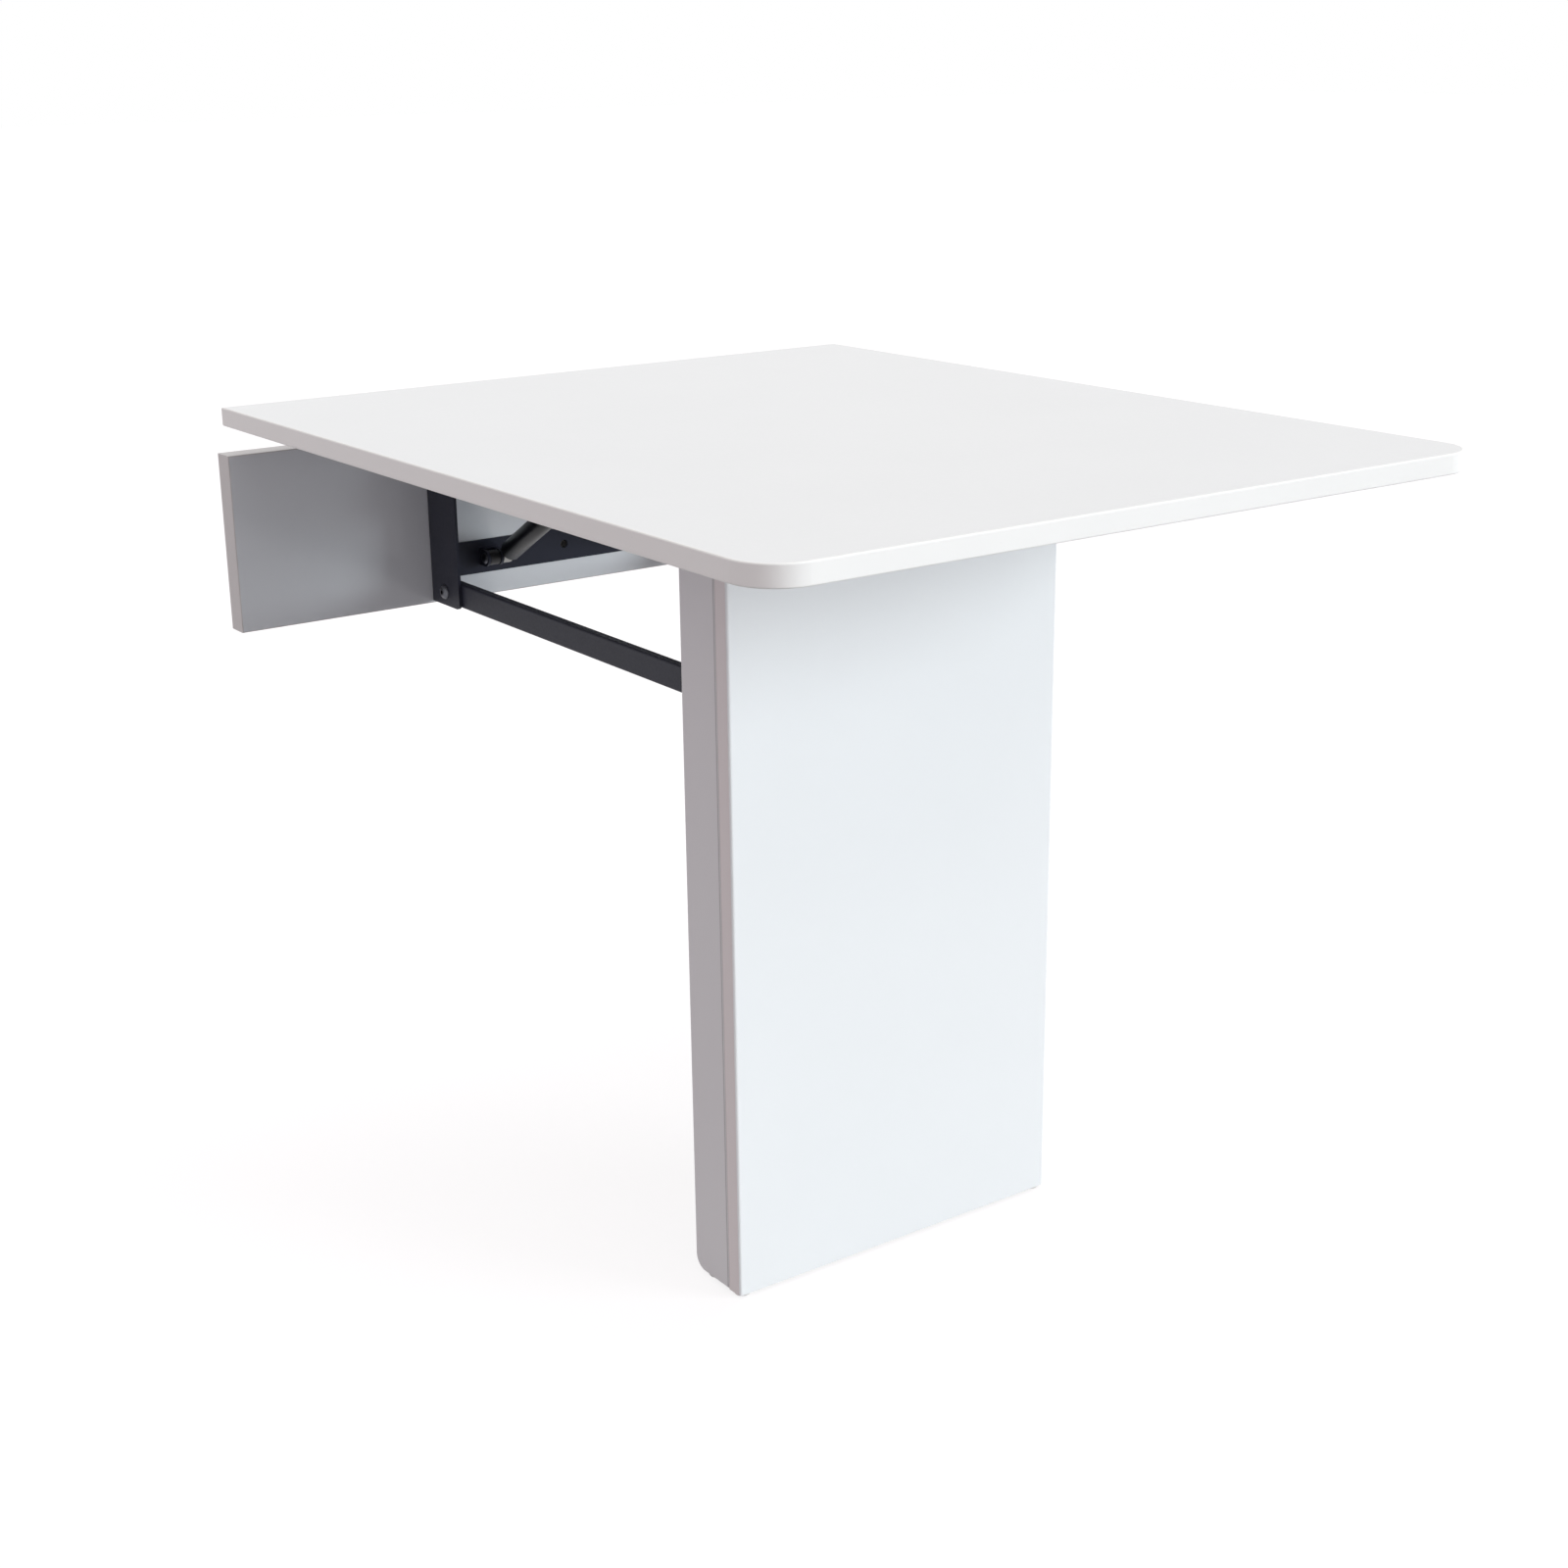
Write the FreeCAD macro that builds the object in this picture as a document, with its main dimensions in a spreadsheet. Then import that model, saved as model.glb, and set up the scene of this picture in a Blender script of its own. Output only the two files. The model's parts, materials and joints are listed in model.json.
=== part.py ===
# Wall table whose leaf folds up flat against the wall, carried by a slab leg.
#
# The leaf turns on two wall uprights, the slab leg hangs from the leaf, and two lower
# links keep the leg upright: each side is a parallelogram. Two gas struts carry the
# leaf's weight. X runs along the wall, +Y points into the wall (the wall face is y = 0)
# and +Z is up. The origin is the middle of the wall bolts, on the wall face.
import FreeCAD, Part
import os
import Sketcher
from FreeCAD import Placement, Rotation, Vector

doc = FreeCAD.newDocument("WallTable")
sizes = doc.addObject("Spreadsheet::Sheet", "Sizes")
layout = doc.addObject("Spreadsheet::Sheet", "Layout")
scratch = doc.addObject("Spreadsheet::Sheet", "Scratch")

# ---------------------------------------------------------------- driving dimensions
DRIVING = [
    # the table as a whole
    ("tableWidth", 740, "leaf and wall panel, along the wall"),
    ("tableHeight", 765, "floor to the top of the leaf"),
    ("leafDepth", 915, "leaf, from its back edge to its front edge"),
    ("armLength", 504, "from pivot to pivot along the leaf and the links"),
    ("boardThick", 18, "leaf and leg boards"),
    ("sheetThick", 3, "pressed steel of uprights, rails, plates and brackets"),
    # leaf
    ("bandThick", 2, "edge band of the leaf"),
    ("cornerRadius", 40, "front corners of the leaf"),
    ("edgeRound", 1.5, "softened edges of boards and band"),
    ("foldGap", 3, "folded leaf above the wall panel"),
    # wall panel and the bolts that hold it
    ("panelThick", 25, "wall panel"),
    ("panelHeight", 177, "wall panel"),
    ("panelBand", 1, "edge band of the wall panel"),
    ("panelDrop", 29, "underside of the leaf to the top of the wall panel"),
    ("boltDrop", 107, "underside of the leaf to the middle of the wall bolts"),
    ("wallBoltSpacing", 120, "wall bolts, up and down"),
    ("wallBoltRadius", 4.5, "holes for the wall bolts"),
    # uprights and cross plate
    ("uprightSpan", 318, "over the outer faces of the two uprights"),
    ("uprightDepth", 60, "side plate of an upright, out from the wall panel"),
    ("uprightTopInset", 1, "top of an upright below the top of the wall panel"),
    ("uprightFootInset", 3, "foot of an upright above the foot of the wall panel"),
    ("uprightNose", 12, "rounded top front corner of an upright"),
    ("uprightHeel", 6, "rounded bottom front corner of an upright"),
    ("flangeWidth", 30, "flange of an upright on the wall panel, and of a leaf rail"),
    ("earRadius", 8.5, "rounded ends round the pivots"),
    ("plateHeight", 35, "cross plate between the uprights"),
    ("plateRise", 39, "middle of the cross plate above the foot of the uprights"),
    # pivots
    ("leafPivotOut", 11, "leaf pivot in front of the wall panel"),
    ("leafPivotDrop", 9, "leaf pivot below the underside of the leaf"),
    ("linkPivotOut", 30, "link pivot in front of the wall panel"),
    ("linkPivotRise", 14, "link pivot above the foot of the upright"),
    ("boltRadius", 4, "pivot bolts and pins"),
    ("headRadius", 7.5, "pivot bolt heads"),
    ("headHeight", 4, "pivot bolt heads"),
    ("nutRadius", 7.2, "pivot nuts, over the corners"),
    ("nutThick", 5, "pivot nuts"),
    ("threadEnd", 1.2, "bolt and pin ends beyond their nuts"),
    ("fit", 0.06, "radial running fit of the pivots"),
    ("looseFit", 0.3, "radial play of the links on the leg's lower pins"),
    ("sidePlay", 0.3, "between faces that turn on each other"),
    # links
    ("linkHeight", 25, "link tube"),
    ("linkWidth", 10, "link tube"),
    ("linkWall", 1.5, "link tube"),
    ("linkRound", 2, "outer corners of the link tube"),
    ("linkEnd", 12, "link tube beyond its pivots"),
    ("sideGap", 0.5, "between a link and its upright"),
    ("bushWall", 2, "bushes in the link tubes"),
    ("plugFlange", 2, "end plugs, outside the tube"),
    ("plugStem", 5, "end plugs, inside the tube"),
    ("plugPlay", 0.1, "end plugs inside the tube"),
    # leaf rails
    ("railGap", 1, "between a link and a leaf rail"),
    ("railDepth", 20, "web of a leaf rail"),
    ("railNose", 7, "rounded lower corners at the ends of a rail"),
    ("railNotch", 12, "flange of a leaf rail cut back from its pivots"),
    # slab leg
    ("nestGap", 5, "wall frame to the front panel of the leg when folded"),
    ("legTopGap", 1, "leg below the underside of the leaf"),
    ("frontRound", 3, "front edges of the slab leg"),
    ("footRadius", 14, "rounded back corner at the foot of a leg side"),
    ("footRailHeight", 28, "rail inside the foot of the leg"),
    ("footRailRise", 3, "foot rail above the foot of the leg"),
    ("footRailInset", 2, "foot rail in from the back edges of the leg"),
    ("battenHeight", 80, "batten inside the top of the leg"),
    ("legPlateHalf", 16, "pivot plate on a leg side, beyond the link's pin"),
    ("glideHeight", 3, "glides under the leg"),
    ("glideRadius", 8, "glides under the leg"),
    # gas struts
    ("lugPivotOut", 15, "strut pin in front of the wall panel"),
    ("lugOffset", 103, "middle of the table to the outer face of a strut lug"),
    ("lugWidth", 18.5, "strut lug"),
    ("eyeWidth", 10, "eyes of a strut"),
    ("eyeRadius", 7.5, "eyes of a strut"),
    ("neckRadius", 4.5, "necks of the strut eyes"),
    ("eyeGap", 0.5, "either side of a strut eye"),
    ("strutReach", 200, "upper strut pin in front of the leaf pivot"),
    ("strutDrop", 40, "upper strut pin below the leaf pivot"),
    ("tubeRadius", 11, "strut cylinder"),
    ("tubeWall", 1, "strut cylinder"),
    ("tubeStart", 14, "strut cylinder beyond its pin"),
    ("tubeLength", 200, "strut cylinder"),
    ("mouthRadius", 8.6, "rolled mouth of the strut cylinder"),
    ("mouthDepth", 3, "rolled mouth of the strut cylinder"),
    ("rodRadius", 4, "strut rod"),
    ("rodStart", 11.5, "strut rod beyond its pin"),
    ("rodLength", 172, "from the upper strut pin to the rod's inner end"),
    ("pistonRadius", 5, "piston on the strut rod"),
    ("pistonLength", 8, "piston on the strut rod"),
    ("pinHeadRadius", 6, "heads of the strut pins"),
    ("pinHeadHeight", 2.5, "heads of the strut pins"),
    ("bracketLength", 60, "foot of a strut bracket on the leaf"),
    ("bracketShoulder", 30, "ears of a strut bracket where they leave its foot"),
    ("bracketScrewOut", 22, "screws of a strut bracket from its pin"),
    # wood screws
    ("screwRadius", 2, "wood screws"),
    ("screwPlay", 0.05, "round the shanks of the wood screws"),
    ("screwHeadRadius", 4, "wood screws"),
    ("screwHeadHeight", 2.4, "wood screws"),
    ("panelScrewDepth", 15, "frame screws in the wall panel"),
    ("boardScrewDepth", 11, "other wood screws in their boards"),
]

# ------------------------------------------------- places that follow from the sizes
PLACES = [
    # heights
    ("undersideZ", "Sizes.boltDrop"),
    ("topZ", "undersideZ + Sizes.boardThick"),
    ("floorZ", "topZ - Sizes.tableHeight"),
    ("panelTopZ", "undersideZ - Sizes.panelDrop"),
    ("panelFootZ", "panelTopZ - Sizes.panelHeight"),
    ("uprightTopZ", "panelTopZ - Sizes.uprightTopInset"),
    ("uprightFootZ", "panelFootZ + Sizes.uprightFootInset"),
    ("plateZ", "uprightFootZ + Sizes.plateRise"),
    ("leafPivotZ", "undersideZ - Sizes.leafPivotDrop"),
    ("linkPivotZ", "uprightFootZ + Sizes.linkPivotRise"),
    ("legTopZ", "undersideZ - Sizes.legTopGap"),
    ("legFootZ", "floorZ + Sizes.glideHeight"),
    ("footRailZ", "legFootZ + Sizes.footRailRise"),
    ("strutTopZ", "leafPivotZ - Sizes.strutDrop"),
    # distances from the wall
    ("panelFaceY", "-Sizes.panelThick"),
    ("flangeFaceY", "panelFaceY - Sizes.sheetThick"),
    ("uprightFrontY", "panelFaceY - Sizes.uprightDepth"),
    ("leafPivotY", "panelFaceY - Sizes.leafPivotOut"),
    ("linkPivotY", "panelFaceY - Sizes.linkPivotOut"),
    ("lugPivotY", "panelFaceY - Sizes.lugPivotOut"),
    ("legPivotY", "leafPivotY - Sizes.armLength"),
    ("linkEndY", "linkPivotY - Sizes.armLength"),
    ("strutTopY", "leafPivotY - Sizes.strutReach"),
    ("leafBackY", "leafPivotY + Sizes.panelDrop - Sizes.leafPivotDrop - Sizes.foldGap"),
    ("leafFrontY", "leafBackY - Sizes.leafDepth"),
    ("legBackY", "legPivotY"),
    ("legInnerY", "legBackY - Sizes.uprightDepth + Sizes.leafPivotOut - Sizes.nestGap"),
    ("legFrontY", "legInnerY - Sizes.boardThick"),
    # left side, from the middle of the table outwards is towards -X
    ("uprightX", "-Sizes.uprightSpan / 2"),
    ("uprightInX", "uprightX + Sizes.sheetThick"),
    ("flangeInX", "uprightX + Sizes.flangeWidth"),
    ("wallBoltX", "(uprightInX + flangeInX) / 2"),
    ("linkOutX", "uprightInX + Sizes.sideGap"),
    ("linkInX", "linkOutX + Sizes.linkWidth"),
    ("linkX", "(linkOutX + linkInX) / 2"),
    ("railOutX", "linkInX + Sizes.railGap"),
    ("railInX", "railOutX + Sizes.sheetThick"),
    ("railScrewX", "(railInX + railOutX + Sizes.flangeWidth) / 2"),
    ("legPlateX", "uprightX - Sizes.headHeight"),
    ("legInX", "legPlateX - Sizes.sheetThick"),
    ("legOutX", "legInX - Sizes.boardThick"),
    ("lugX", "-Sizes.lugOffset"),
    ("strutX", "lugX + Sizes.lugWidth + Sizes.eyeGap + Sizes.eyeWidth / 2"),
    # sizes of what has to fit or clear something else
    ("pivotHole", "Sizes.boltRadius + Sizes.fit"),
    ("bushRadius", "Sizes.boltRadius + Sizes.bushWall"),
    ("shoulderRadius", "Sizes.linkPivotOut - Sizes.leafPivotOut - Sizes.linkHeight / 2"
                       " - Sizes.sidePlay"),
    ("bracketGap", "Sizes.eyeWidth + 2 * Sizes.eyeGap"),
    ("bracketWidth", "bracketGap + 2 * Sizes.sheetThick"),
    ("strutLean", "atan2(lugPivotY - strutTopY; strutTopZ - plateZ) / 1deg"),
]


def fill_sheets():
    for row, (alias, value, note) in enumerate(DRIVING, 1):
        sizes.set(f"A{row}", alias)
        sizes.set(f"B{row}", str(value))
        sizes.setAlias(f"B{row}", alias)
        sizes.set(f"C{row}", note)
    doc.recompute()
    for row, (alias, formula) in enumerate(PLACES, 1):
        layout.set(f"A{row}", alias)
        layout.set(f"B{row}", "=" + formula)
        layout.setAlias(f"B{row}", alias)
    doc.recompute()


def number(formula):
    """The present value of a formula, read through a scratch cell."""
    scratch.set("A1", "=" + str(formula))
    scratch.recompute()
    return float(scratch.get("A1"))


# --------------------------------------------------------------------- small helpers
SAME = 1e-3                      # millimetres within which two places are one
BEND = "Sizes.sheetThick * 0.9"  # outer radius of a bend in the sheet steel
nodes = []


def bind(thing, **formulas):
    for name, formula in formulas.items():
        thing.setExpression(name, str(formula))


def place(thing, x="0", y="0", z="0", turn=None):
    """Puts a thing at x, y, z; turn is (axis, degrees or formula)."""
    if turn:
        axis, angle = turn
        thing.Placement = Placement(Vector(), Rotation(axis, number(angle)))
        if isinstance(angle, str):
            thing.setExpression("Placement.Rotation.Angle", angle)
    for letter, formula in zip("xyz", (x, y, z)):
        thing.setExpression("Placement.Base." + letter, str(formula))


def node(thing, label):
    thing.Label = label
    nodes.append(thing)
    return thing


def pair(left, label):
    """Names a piece of the left side, and its mirror image on the right side."""
    node(left, label + "_left")
    right = doc.addObject("Part::Mirroring", "Mirror")
    right.Source = left
    right.Normal = (1, 0, 0)
    node(right, label + "_right")


def new_body():
    return doc.addObject("PartDesign::Body", "Body")


def new_sketch(body, plane, lift="0"):
    """A sketch on one of the body's own planes, lifted along the plane's normal."""
    sketch = body.newObject("Sketcher::SketchObject", "Sketch")
    support = [part for part in body.Origin.OriginFeatures if part.Role == plane][0]
    sketch.AttachmentSupport = [(support, "")]
    sketch.MapMode = "FlatFace"
    sketch.setExpression("AttachmentOffset.Base.z", str(lift))
    return sketch


def pin_point(sketch, index, point, a, b):
    """Ties a point of the sketch to two formulas, measured from its origin."""
    for kind, axis, formula in (("DistanceX", -2, a), ("DistanceY", -1, b)):
        if str(formula) == "0":
            sketch.addConstraint(Sketcher.Constraint("PointOnObject", index, point, axis))
            continue
        tie = Sketcher.Constraint(kind, -1, 1, index, point, number(formula))
        row = sketch.addConstraint(tie)
        sketch.setExpression(f"Constraints[{row}]", str(formula))


def polygon(sketch, corners):
    """A closed outline of straight sides through corners given as formula pairs."""
    first = sketch.GeometryCount
    spots = [Vector(number(a), number(b), 0) for a, b in corners]
    count = len(spots)
    for i in range(count):
        sketch.addGeometry(Part.LineSegment(spots[i], spots[(i + 1) % count]), False)
    for i in range(count):
        joint = Sketcher.Constraint("Coincident", first + i, 2, first + (i + 1) % count, 1)
        sketch.addConstraint(joint)
    for i, (a, b) in enumerate(corners):
        pin_point(sketch, first + i, 1, a, b)


def rectangle(sketch, a0, a1, b0, b1):
    polygon(sketch, [(a0, b0), (a1, b0), (a1, b1), (a0, b1)])


def circle(sketch, a, b, radius):
    centre = Vector(number(a), number(b), 0)
    index = sketch.addGeometry(Part.Circle(centre, Vector(0, 0, 1), number(radius)), False)
    pin_point(sketch, index, 3, a, b)
    row = sketch.addConstraint(Sketcher.Constraint("Radius", index, number(radius)))
    sketch.setExpression(f"Constraints[{row}]", str(radius))


def pad(body, sketch, length):
    feature = body.newObject("PartDesign::Pad", "Pad")
    feature.Profile = sketch
    feature.Length = number(length)
    bind(feature, Length=length)
    sketch.Visibility = False
    doc.recompute()
    return feature


def drill(body, sketch):
    """Cuts the sketch right through the body, both ways from its plane."""
    before = body.Shape.Volume
    feature = body.newObject("PartDesign::Pocket", "Pocket")
    feature.Profile = sketch
    feature.Type = "ThroughAll"
    feature.Midplane = True
    doc.recompute()
    if body.Shape.Volume >= before:
        raise RuntimeError("a pocket cut nothing from " + body.Name)
    return feature


def soften(body, radius, chosen):
    """Rounds the edges of the body's tip that the test picks."""
    tip = body.Tip
    names = [f"Edge{i}" for i, edge in enumerate(tip.Shape.Edges, 1) if chosen(edge)]
    if not names:
        raise RuntimeError("no edge to round on " + body.Name)
    feature = body.newObject("PartDesign::Fillet", "Fillet")
    feature.Base = (tip, names)
    feature.Radius = number(radius)
    bind(feature, Radius=radius)
    doc.recompute()
    return feature


def along(edge, axis):
    """True for a straight edge that runs along x, y or z."""
    if not isinstance(edge.Curve, (Part.Line, Part.LineSegment)):
        return False
    ends = edge.Vertexes
    span = ends[-1].Point - ends[0].Point
    return abs(abs(getattr(span, axis)) - span.Length) < SAME


def near(edge, **spots):
    """True where the middle of an edge has the named coordinates."""
    middle = edge.BoundBox.Center
    return all(abs(getattr(middle, axis) - spot) < SAME for axis, spot in spots.items())


def corner(**spots):
    """A test for the straight edges that cross the named pair of coordinates."""
    values = {axis: number(formula) for axis, formula in spots.items()}
    free = ({"x", "y", "z"} - set(spots)).pop()
    return lambda edge: along(edge, free) and near(edge, **values)


def side_plate(pieces, length="Sizes.sheetThick", holes=()):
    """A plate in the YZ plane: rectangles and discs pad into one, then holes."""
    body = new_body()
    for piece in pieces:
        sketch = new_sketch(body, "YZ_Plane")
        if piece[0] == "box":
            rectangle(sketch, *piece[1:5])
        elif piece[0] == "disc":
            circle(sketch, *piece[1:4])
        else:
            polygon(sketch, piece[1])
        pad(body, sketch, length)
    if holes:
        sketch = new_sketch(body, "YZ_Plane")
        for hole in holes:
            circle(sketch, *hole)
        drill(body, sketch)
    return body


def turned(outline):
    """A body turned about its own Z axis from (radius, height) corners."""
    body = new_body()
    sketch = new_sketch(body, "XZ_Plane")
    polygon(sketch, outline)
    feature = body.newObject("PartDesign::Revolution", "Revolution")
    feature.Profile = sketch
    feature.ReferenceAxis = (sketch, ["V_Axis"])
    feature.Angle = 360
    doc.recompute()
    return body


def box(x0, x1, y0, y1, z0, z1):
    block = doc.addObject("Part::Box", "Box")
    bind(block, Length=f"({x1}) - ({x0})", Width=f"({y1}) - ({y0})", Height=f"({z1}) - ({z0})")
    place(block, x0, y0, z0)
    return block


def rod(radius, length, x, y, z, turn=None):
    cylinder = doc.addObject("Part::Cylinder", "Cylinder")
    bind(cylinder, Radius=radius, Height=length)
    place(cylinder, x, y, z, turn)
    return cylinder


def cut(base, tool):
    feature = doc.addObject("Part::Cut", "Cut")
    feature.Base = base
    feature.Tool = tool
    return feature


def group(parts):
    feature = doc.addObject("Part::Compound", "Group")
    feature.Links = parts
    return feature


ALONG_X = (Vector(0, 1, 0), 90)          # local Z to +X
AGAINST_X = (Vector(0, 1, 0), -90)       # local Z to -X
INTO_WALL = (Vector(1, 0, 0), -90)       # local Z to +Y
UPSIDE_DOWN = (Vector(1, 0, 0), 180)     # local Z to -Z


def tube(outer, inner, length, x, y, z, turn=None):
    return cut(rod(outer, length, x, y, z, turn), rod(inner, length, x, y, z, turn))


def pivot_bolt(grip, y, z):
    """A bolt whose coned head sits on the outer face of an upright."""
    head = "Sizes.headRadius"
    shank = "Sizes.boltRadius"
    body = turned([
        ("0", "-Sizes.headHeight"),
        (f"{head} * 0.7", "-Sizes.headHeight"),
        (head, "-Sizes.headHeight / 2"),
        (head, "0"),
        (shank, "0"),
        (shank, grip),
        ("0", grip),
    ])
    place(body, "Layout.uprightX", y, z, ALONG_X)
    return body


def pivot_nut(x, y, z):
    prism = doc.addObject("Part::Prism", "Prism")
    prism.Polygon = 6
    bind(prism, Circumradius="Sizes.nutRadius", Height="Sizes.nutThick")
    place(prism, x, y, z, ALONG_X)
    return cut(prism, rod("Layout.pivotHole", "Sizes.nutThick", x, y, z, ALONG_X))


def nut_reach(face):
    """How far a bolt or pin reaches past the face that its nut is on."""
    return f"{face} + Sizes.sidePlay + Sizes.nutThick + Sizes.threadEnd"


def wood_screw(length, spot, turn):
    """A plain headed screw: its local Z points into the wood, from under the head."""
    head = "Sizes.screwHeadRadius"
    shank = "Sizes.screwRadius"
    body = turned([
        ("0", "-Sizes.screwHeadHeight"),
        (head, "-Sizes.screwHeadHeight"),
        (head, "0"),
        (shank, "0"),
        (shank, length),
        ("0", length),
    ])
    place(body, *spot, turn)
    return body


def screw_set(length, spots, turn):
    return group([wood_screw(length, spot, turn) for spot in spots])


def screw_holes(length, spots, turn):
    """Holes for the screws at the spots, a little wider than their shanks."""
    radius = "Sizes.screwRadius + Sizes.screwPlay"
    return group([rod(radius, length, *spot, turn) for spot in spots])


def both_sides(spots):
    """The spots, then the same spots on the other side of the table's middle."""
    return spots + [(f"-({x})", y, z) for x, y, z in spots]


def strip(start, end, count):
    """Formulas that space a count of things evenly from start to end, inside both."""
    shares = [(i + 0.5) / count for i in range(count)]
    return [f"{start} + ({end} - {start}) * {share}" for share in shares]


# ------------------------------------------------------------------------ wall panel
FRAME_SCREW = "(Sizes.sheetThick + Sizes.panelScrewDepth)"
BOARD_SCREW = "(Sizes.sheetThick + Sizes.boardScrewDepth)"


def bolt_rises():
    return ("-Sizes.wallBoltSpacing / 2", "Sizes.wallBoltSpacing / 2")


def frame_screw_spots():
    """On the flanges, at a quarter of the bolts' spacing from their middle."""
    rises = ("-Sizes.wallBoltSpacing / 4", "Sizes.wallBoltSpacing / 4")
    return both_sides([("Layout.wallBoltX", "Layout.flangeFaceY", rise) for rise in rises])


def wall_panel():
    body = new_body()
    sketch = new_sketch(body, "XZ_Plane")
    half = "Sizes.tableWidth / 2 - Sizes.panelBand"
    rectangle(sketch, f"-({half})", half, "Layout.panelFootZ + Sizes.panelBand",
              "Layout.panelTopZ - Sizes.panelBand")
    pad(body, sketch, "Sizes.panelThick")
    holes = new_sketch(body, "XZ_Plane")
    for rise in bolt_rises():
        circle(holes, "Layout.wallBoltX", rise, "Sizes.wallBoltRadius")
        circle(holes, "-Layout.wallBoltX", rise, "Sizes.wallBoltRadius")
    circle(holes, "0", "Layout.plateZ", "Sizes.wallBoltRadius")
    drill(body, holes)
    pilot = screw_holes(FRAME_SCREW, frame_screw_spots(), INTO_WALL)
    node(cut(body, pilot), "wall_panel")


def wall_panel_band():
    body = new_body()
    sketch = new_sketch(body, "XZ_Plane")
    half = "Sizes.tableWidth / 2"
    rectangle(sketch, f"-{half}", half, "Layout.panelFootZ", "Layout.panelTopZ")
    rectangle(sketch, f"-({half} - Sizes.panelBand)", f"{half} - Sizes.panelBand",
              "Layout.panelFootZ + Sizes.panelBand", "Layout.panelTopZ - Sizes.panelBand")
    pad(body, sketch, "Sizes.panelThick")
    outer = number("Sizes.tableWidth / 2")
    front = number("Layout.panelFaceY")
    low = number("Layout.panelFootZ")
    high = number("Layout.panelTopZ")

    def front_rim(edge):
        if not near(edge, y=front):
            return False
        middle = edge.BoundBox.Center
        on_side = abs(abs(middle.x) - outer) < SAME
        on_end = min(abs(middle.z - low), abs(middle.z - high)) < SAME
        return on_side or on_end

    soften(body, "Sizes.panelBand * 0.8", front_rim)
    node(body, "wall_panel_edge_band")


# ---------------------------------------------------------------- steel wall frame
def upright():
    """Folded sheet: a side plate out from the wall, a flange on the panel, an ear."""
    ear = "Sizes.earRadius"
    top = "Layout.uprightTopZ"
    body = side_plate([
        ("box", "Layout.uprightFrontY", "Layout.panelFaceY", "Layout.uprightFootZ", top),
        ("box", f"Layout.leafPivotY - {ear}", f"Layout.leafPivotY + {ear}",
         f"{top} - {ear}", "Layout.leafPivotZ"),
        ("disc", "Layout.leafPivotY", "Layout.leafPivotZ", ear),
    ])
    flange = new_sketch(body, "YZ_Plane")
    rectangle(flange, "Layout.flangeFaceY", "Layout.panelFaceY", "Layout.uprightFootZ", top)
    pad(body, flange, "Sizes.flangeWidth")
    soften(body, "Sizes.uprightNose", corner(y="Layout.uprightFrontY", z=top))
    soften(body, "Sizes.uprightHeel", corner(y="Layout.uprightFrontY", z="Layout.uprightFootZ"))
    soften(body, BEND, corner(x="0", y="Layout.panelFaceY"))
    pivots = new_sketch(body, "YZ_Plane")
    circle(pivots, "Layout.leafPivotY", "Layout.leafPivotZ", "Layout.pivotHole")
    circle(pivots, "Layout.linkPivotY", "Layout.linkPivotZ", "Layout.pivotHole")
    drill(body, pivots)
    bolts = new_sketch(body, "XZ_Plane")
    for rise in bolt_rises():
        circle(bolts, "Layout.wallBoltX - Layout.uprightX", rise, "Sizes.wallBoltRadius")
    drill(body, bolts)
    place(body, "Layout.uprightX")
    pilot = screw_holes("Sizes.sheetThick", frame_screw_spots(), INTO_WALL)
    pair(cut(body, pilot), "upright")


def cross_plate():
    """Flat bar, welded edge to edge between the flanges of the uprights."""
    body = new_body()
    sketch = new_sketch(body, "XZ_Plane")
    half = "Sizes.plateHeight / 2"
    rectangle(sketch, "Layout.flangeInX", "-Layout.flangeInX",
              f"Layout.plateZ - {half}", f"Layout.plateZ + {half}")
    circle(sketch, "0", "Layout.plateZ", "Sizes.wallBoltRadius")
    pad(body, sketch, "Sizes.sheetThick")
    place(body, y="Layout.panelFaceY")
    node(body, "cross_plate")


def strut_lug():
    """A folded U whose two round-nosed ears carry the lower strut pin."""
    ear = "Sizes.earRadius"
    low = f"Layout.plateZ - {ear}"
    high = f"Layout.plateZ + {ear}"
    body = side_plate([
        ("box", "Layout.lugPivotY", "Layout.flangeFaceY", low, high),
        ("disc", "Layout.lugPivotY", "Layout.plateZ", ear),
    ], "Sizes.lugWidth", [("Layout.lugPivotY", "Layout.plateZ", "Layout.pivotHole")])
    place(body, "Layout.lugX")
    inside = box("Layout.lugX + Sizes.sheetThick",
                 "Layout.lugX + Sizes.lugWidth - Sizes.sheetThick",
                 f"Layout.lugPivotY - {ear}", "Layout.flangeFaceY - Sizes.sheetThick", low, high)
    pair(cut(body, inside), "strut_lug")


def wall_pivots():
    """Bolts, nuts and spacers that carry the leaf rails and the links."""
    for label, y, z, face in (
            ("leaf_pivot_bolt", "Layout.leafPivotY", "Layout.leafPivotZ", "Layout.railInX"),
            ("link_pivot_bolt", "Layout.linkPivotY", "Layout.linkPivotZ", "Layout.linkInX")):
        bolt = pivot_bolt(f"{nut_reach(face)} - Layout.uprightX", y, z)
        pair(group([bolt, pivot_nut(f"{face} + Sizes.sidePlay", y, z)]), label)
    spacer = tube("Layout.shoulderRadius", "Layout.pivotHole",
                  "Layout.railOutX - Sizes.sidePlay - Layout.uprightInX", "Layout.uprightInX",
                  "Layout.leafPivotY", "Layout.leafPivotZ", ALONG_X)
    pair(spacer, "leaf_pivot_spacer")


# ------------------------------------------------------------------------------ leaf
def rail_screw_spots():
    under = "(Layout.undersideZ - Sizes.sheetThick)"
    spots = [("Layout.railScrewX", y, under)
             for y in strip("Layout.leafPivotY", "Layout.legPivotY", 3)]
    return both_sides(spots)


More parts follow.
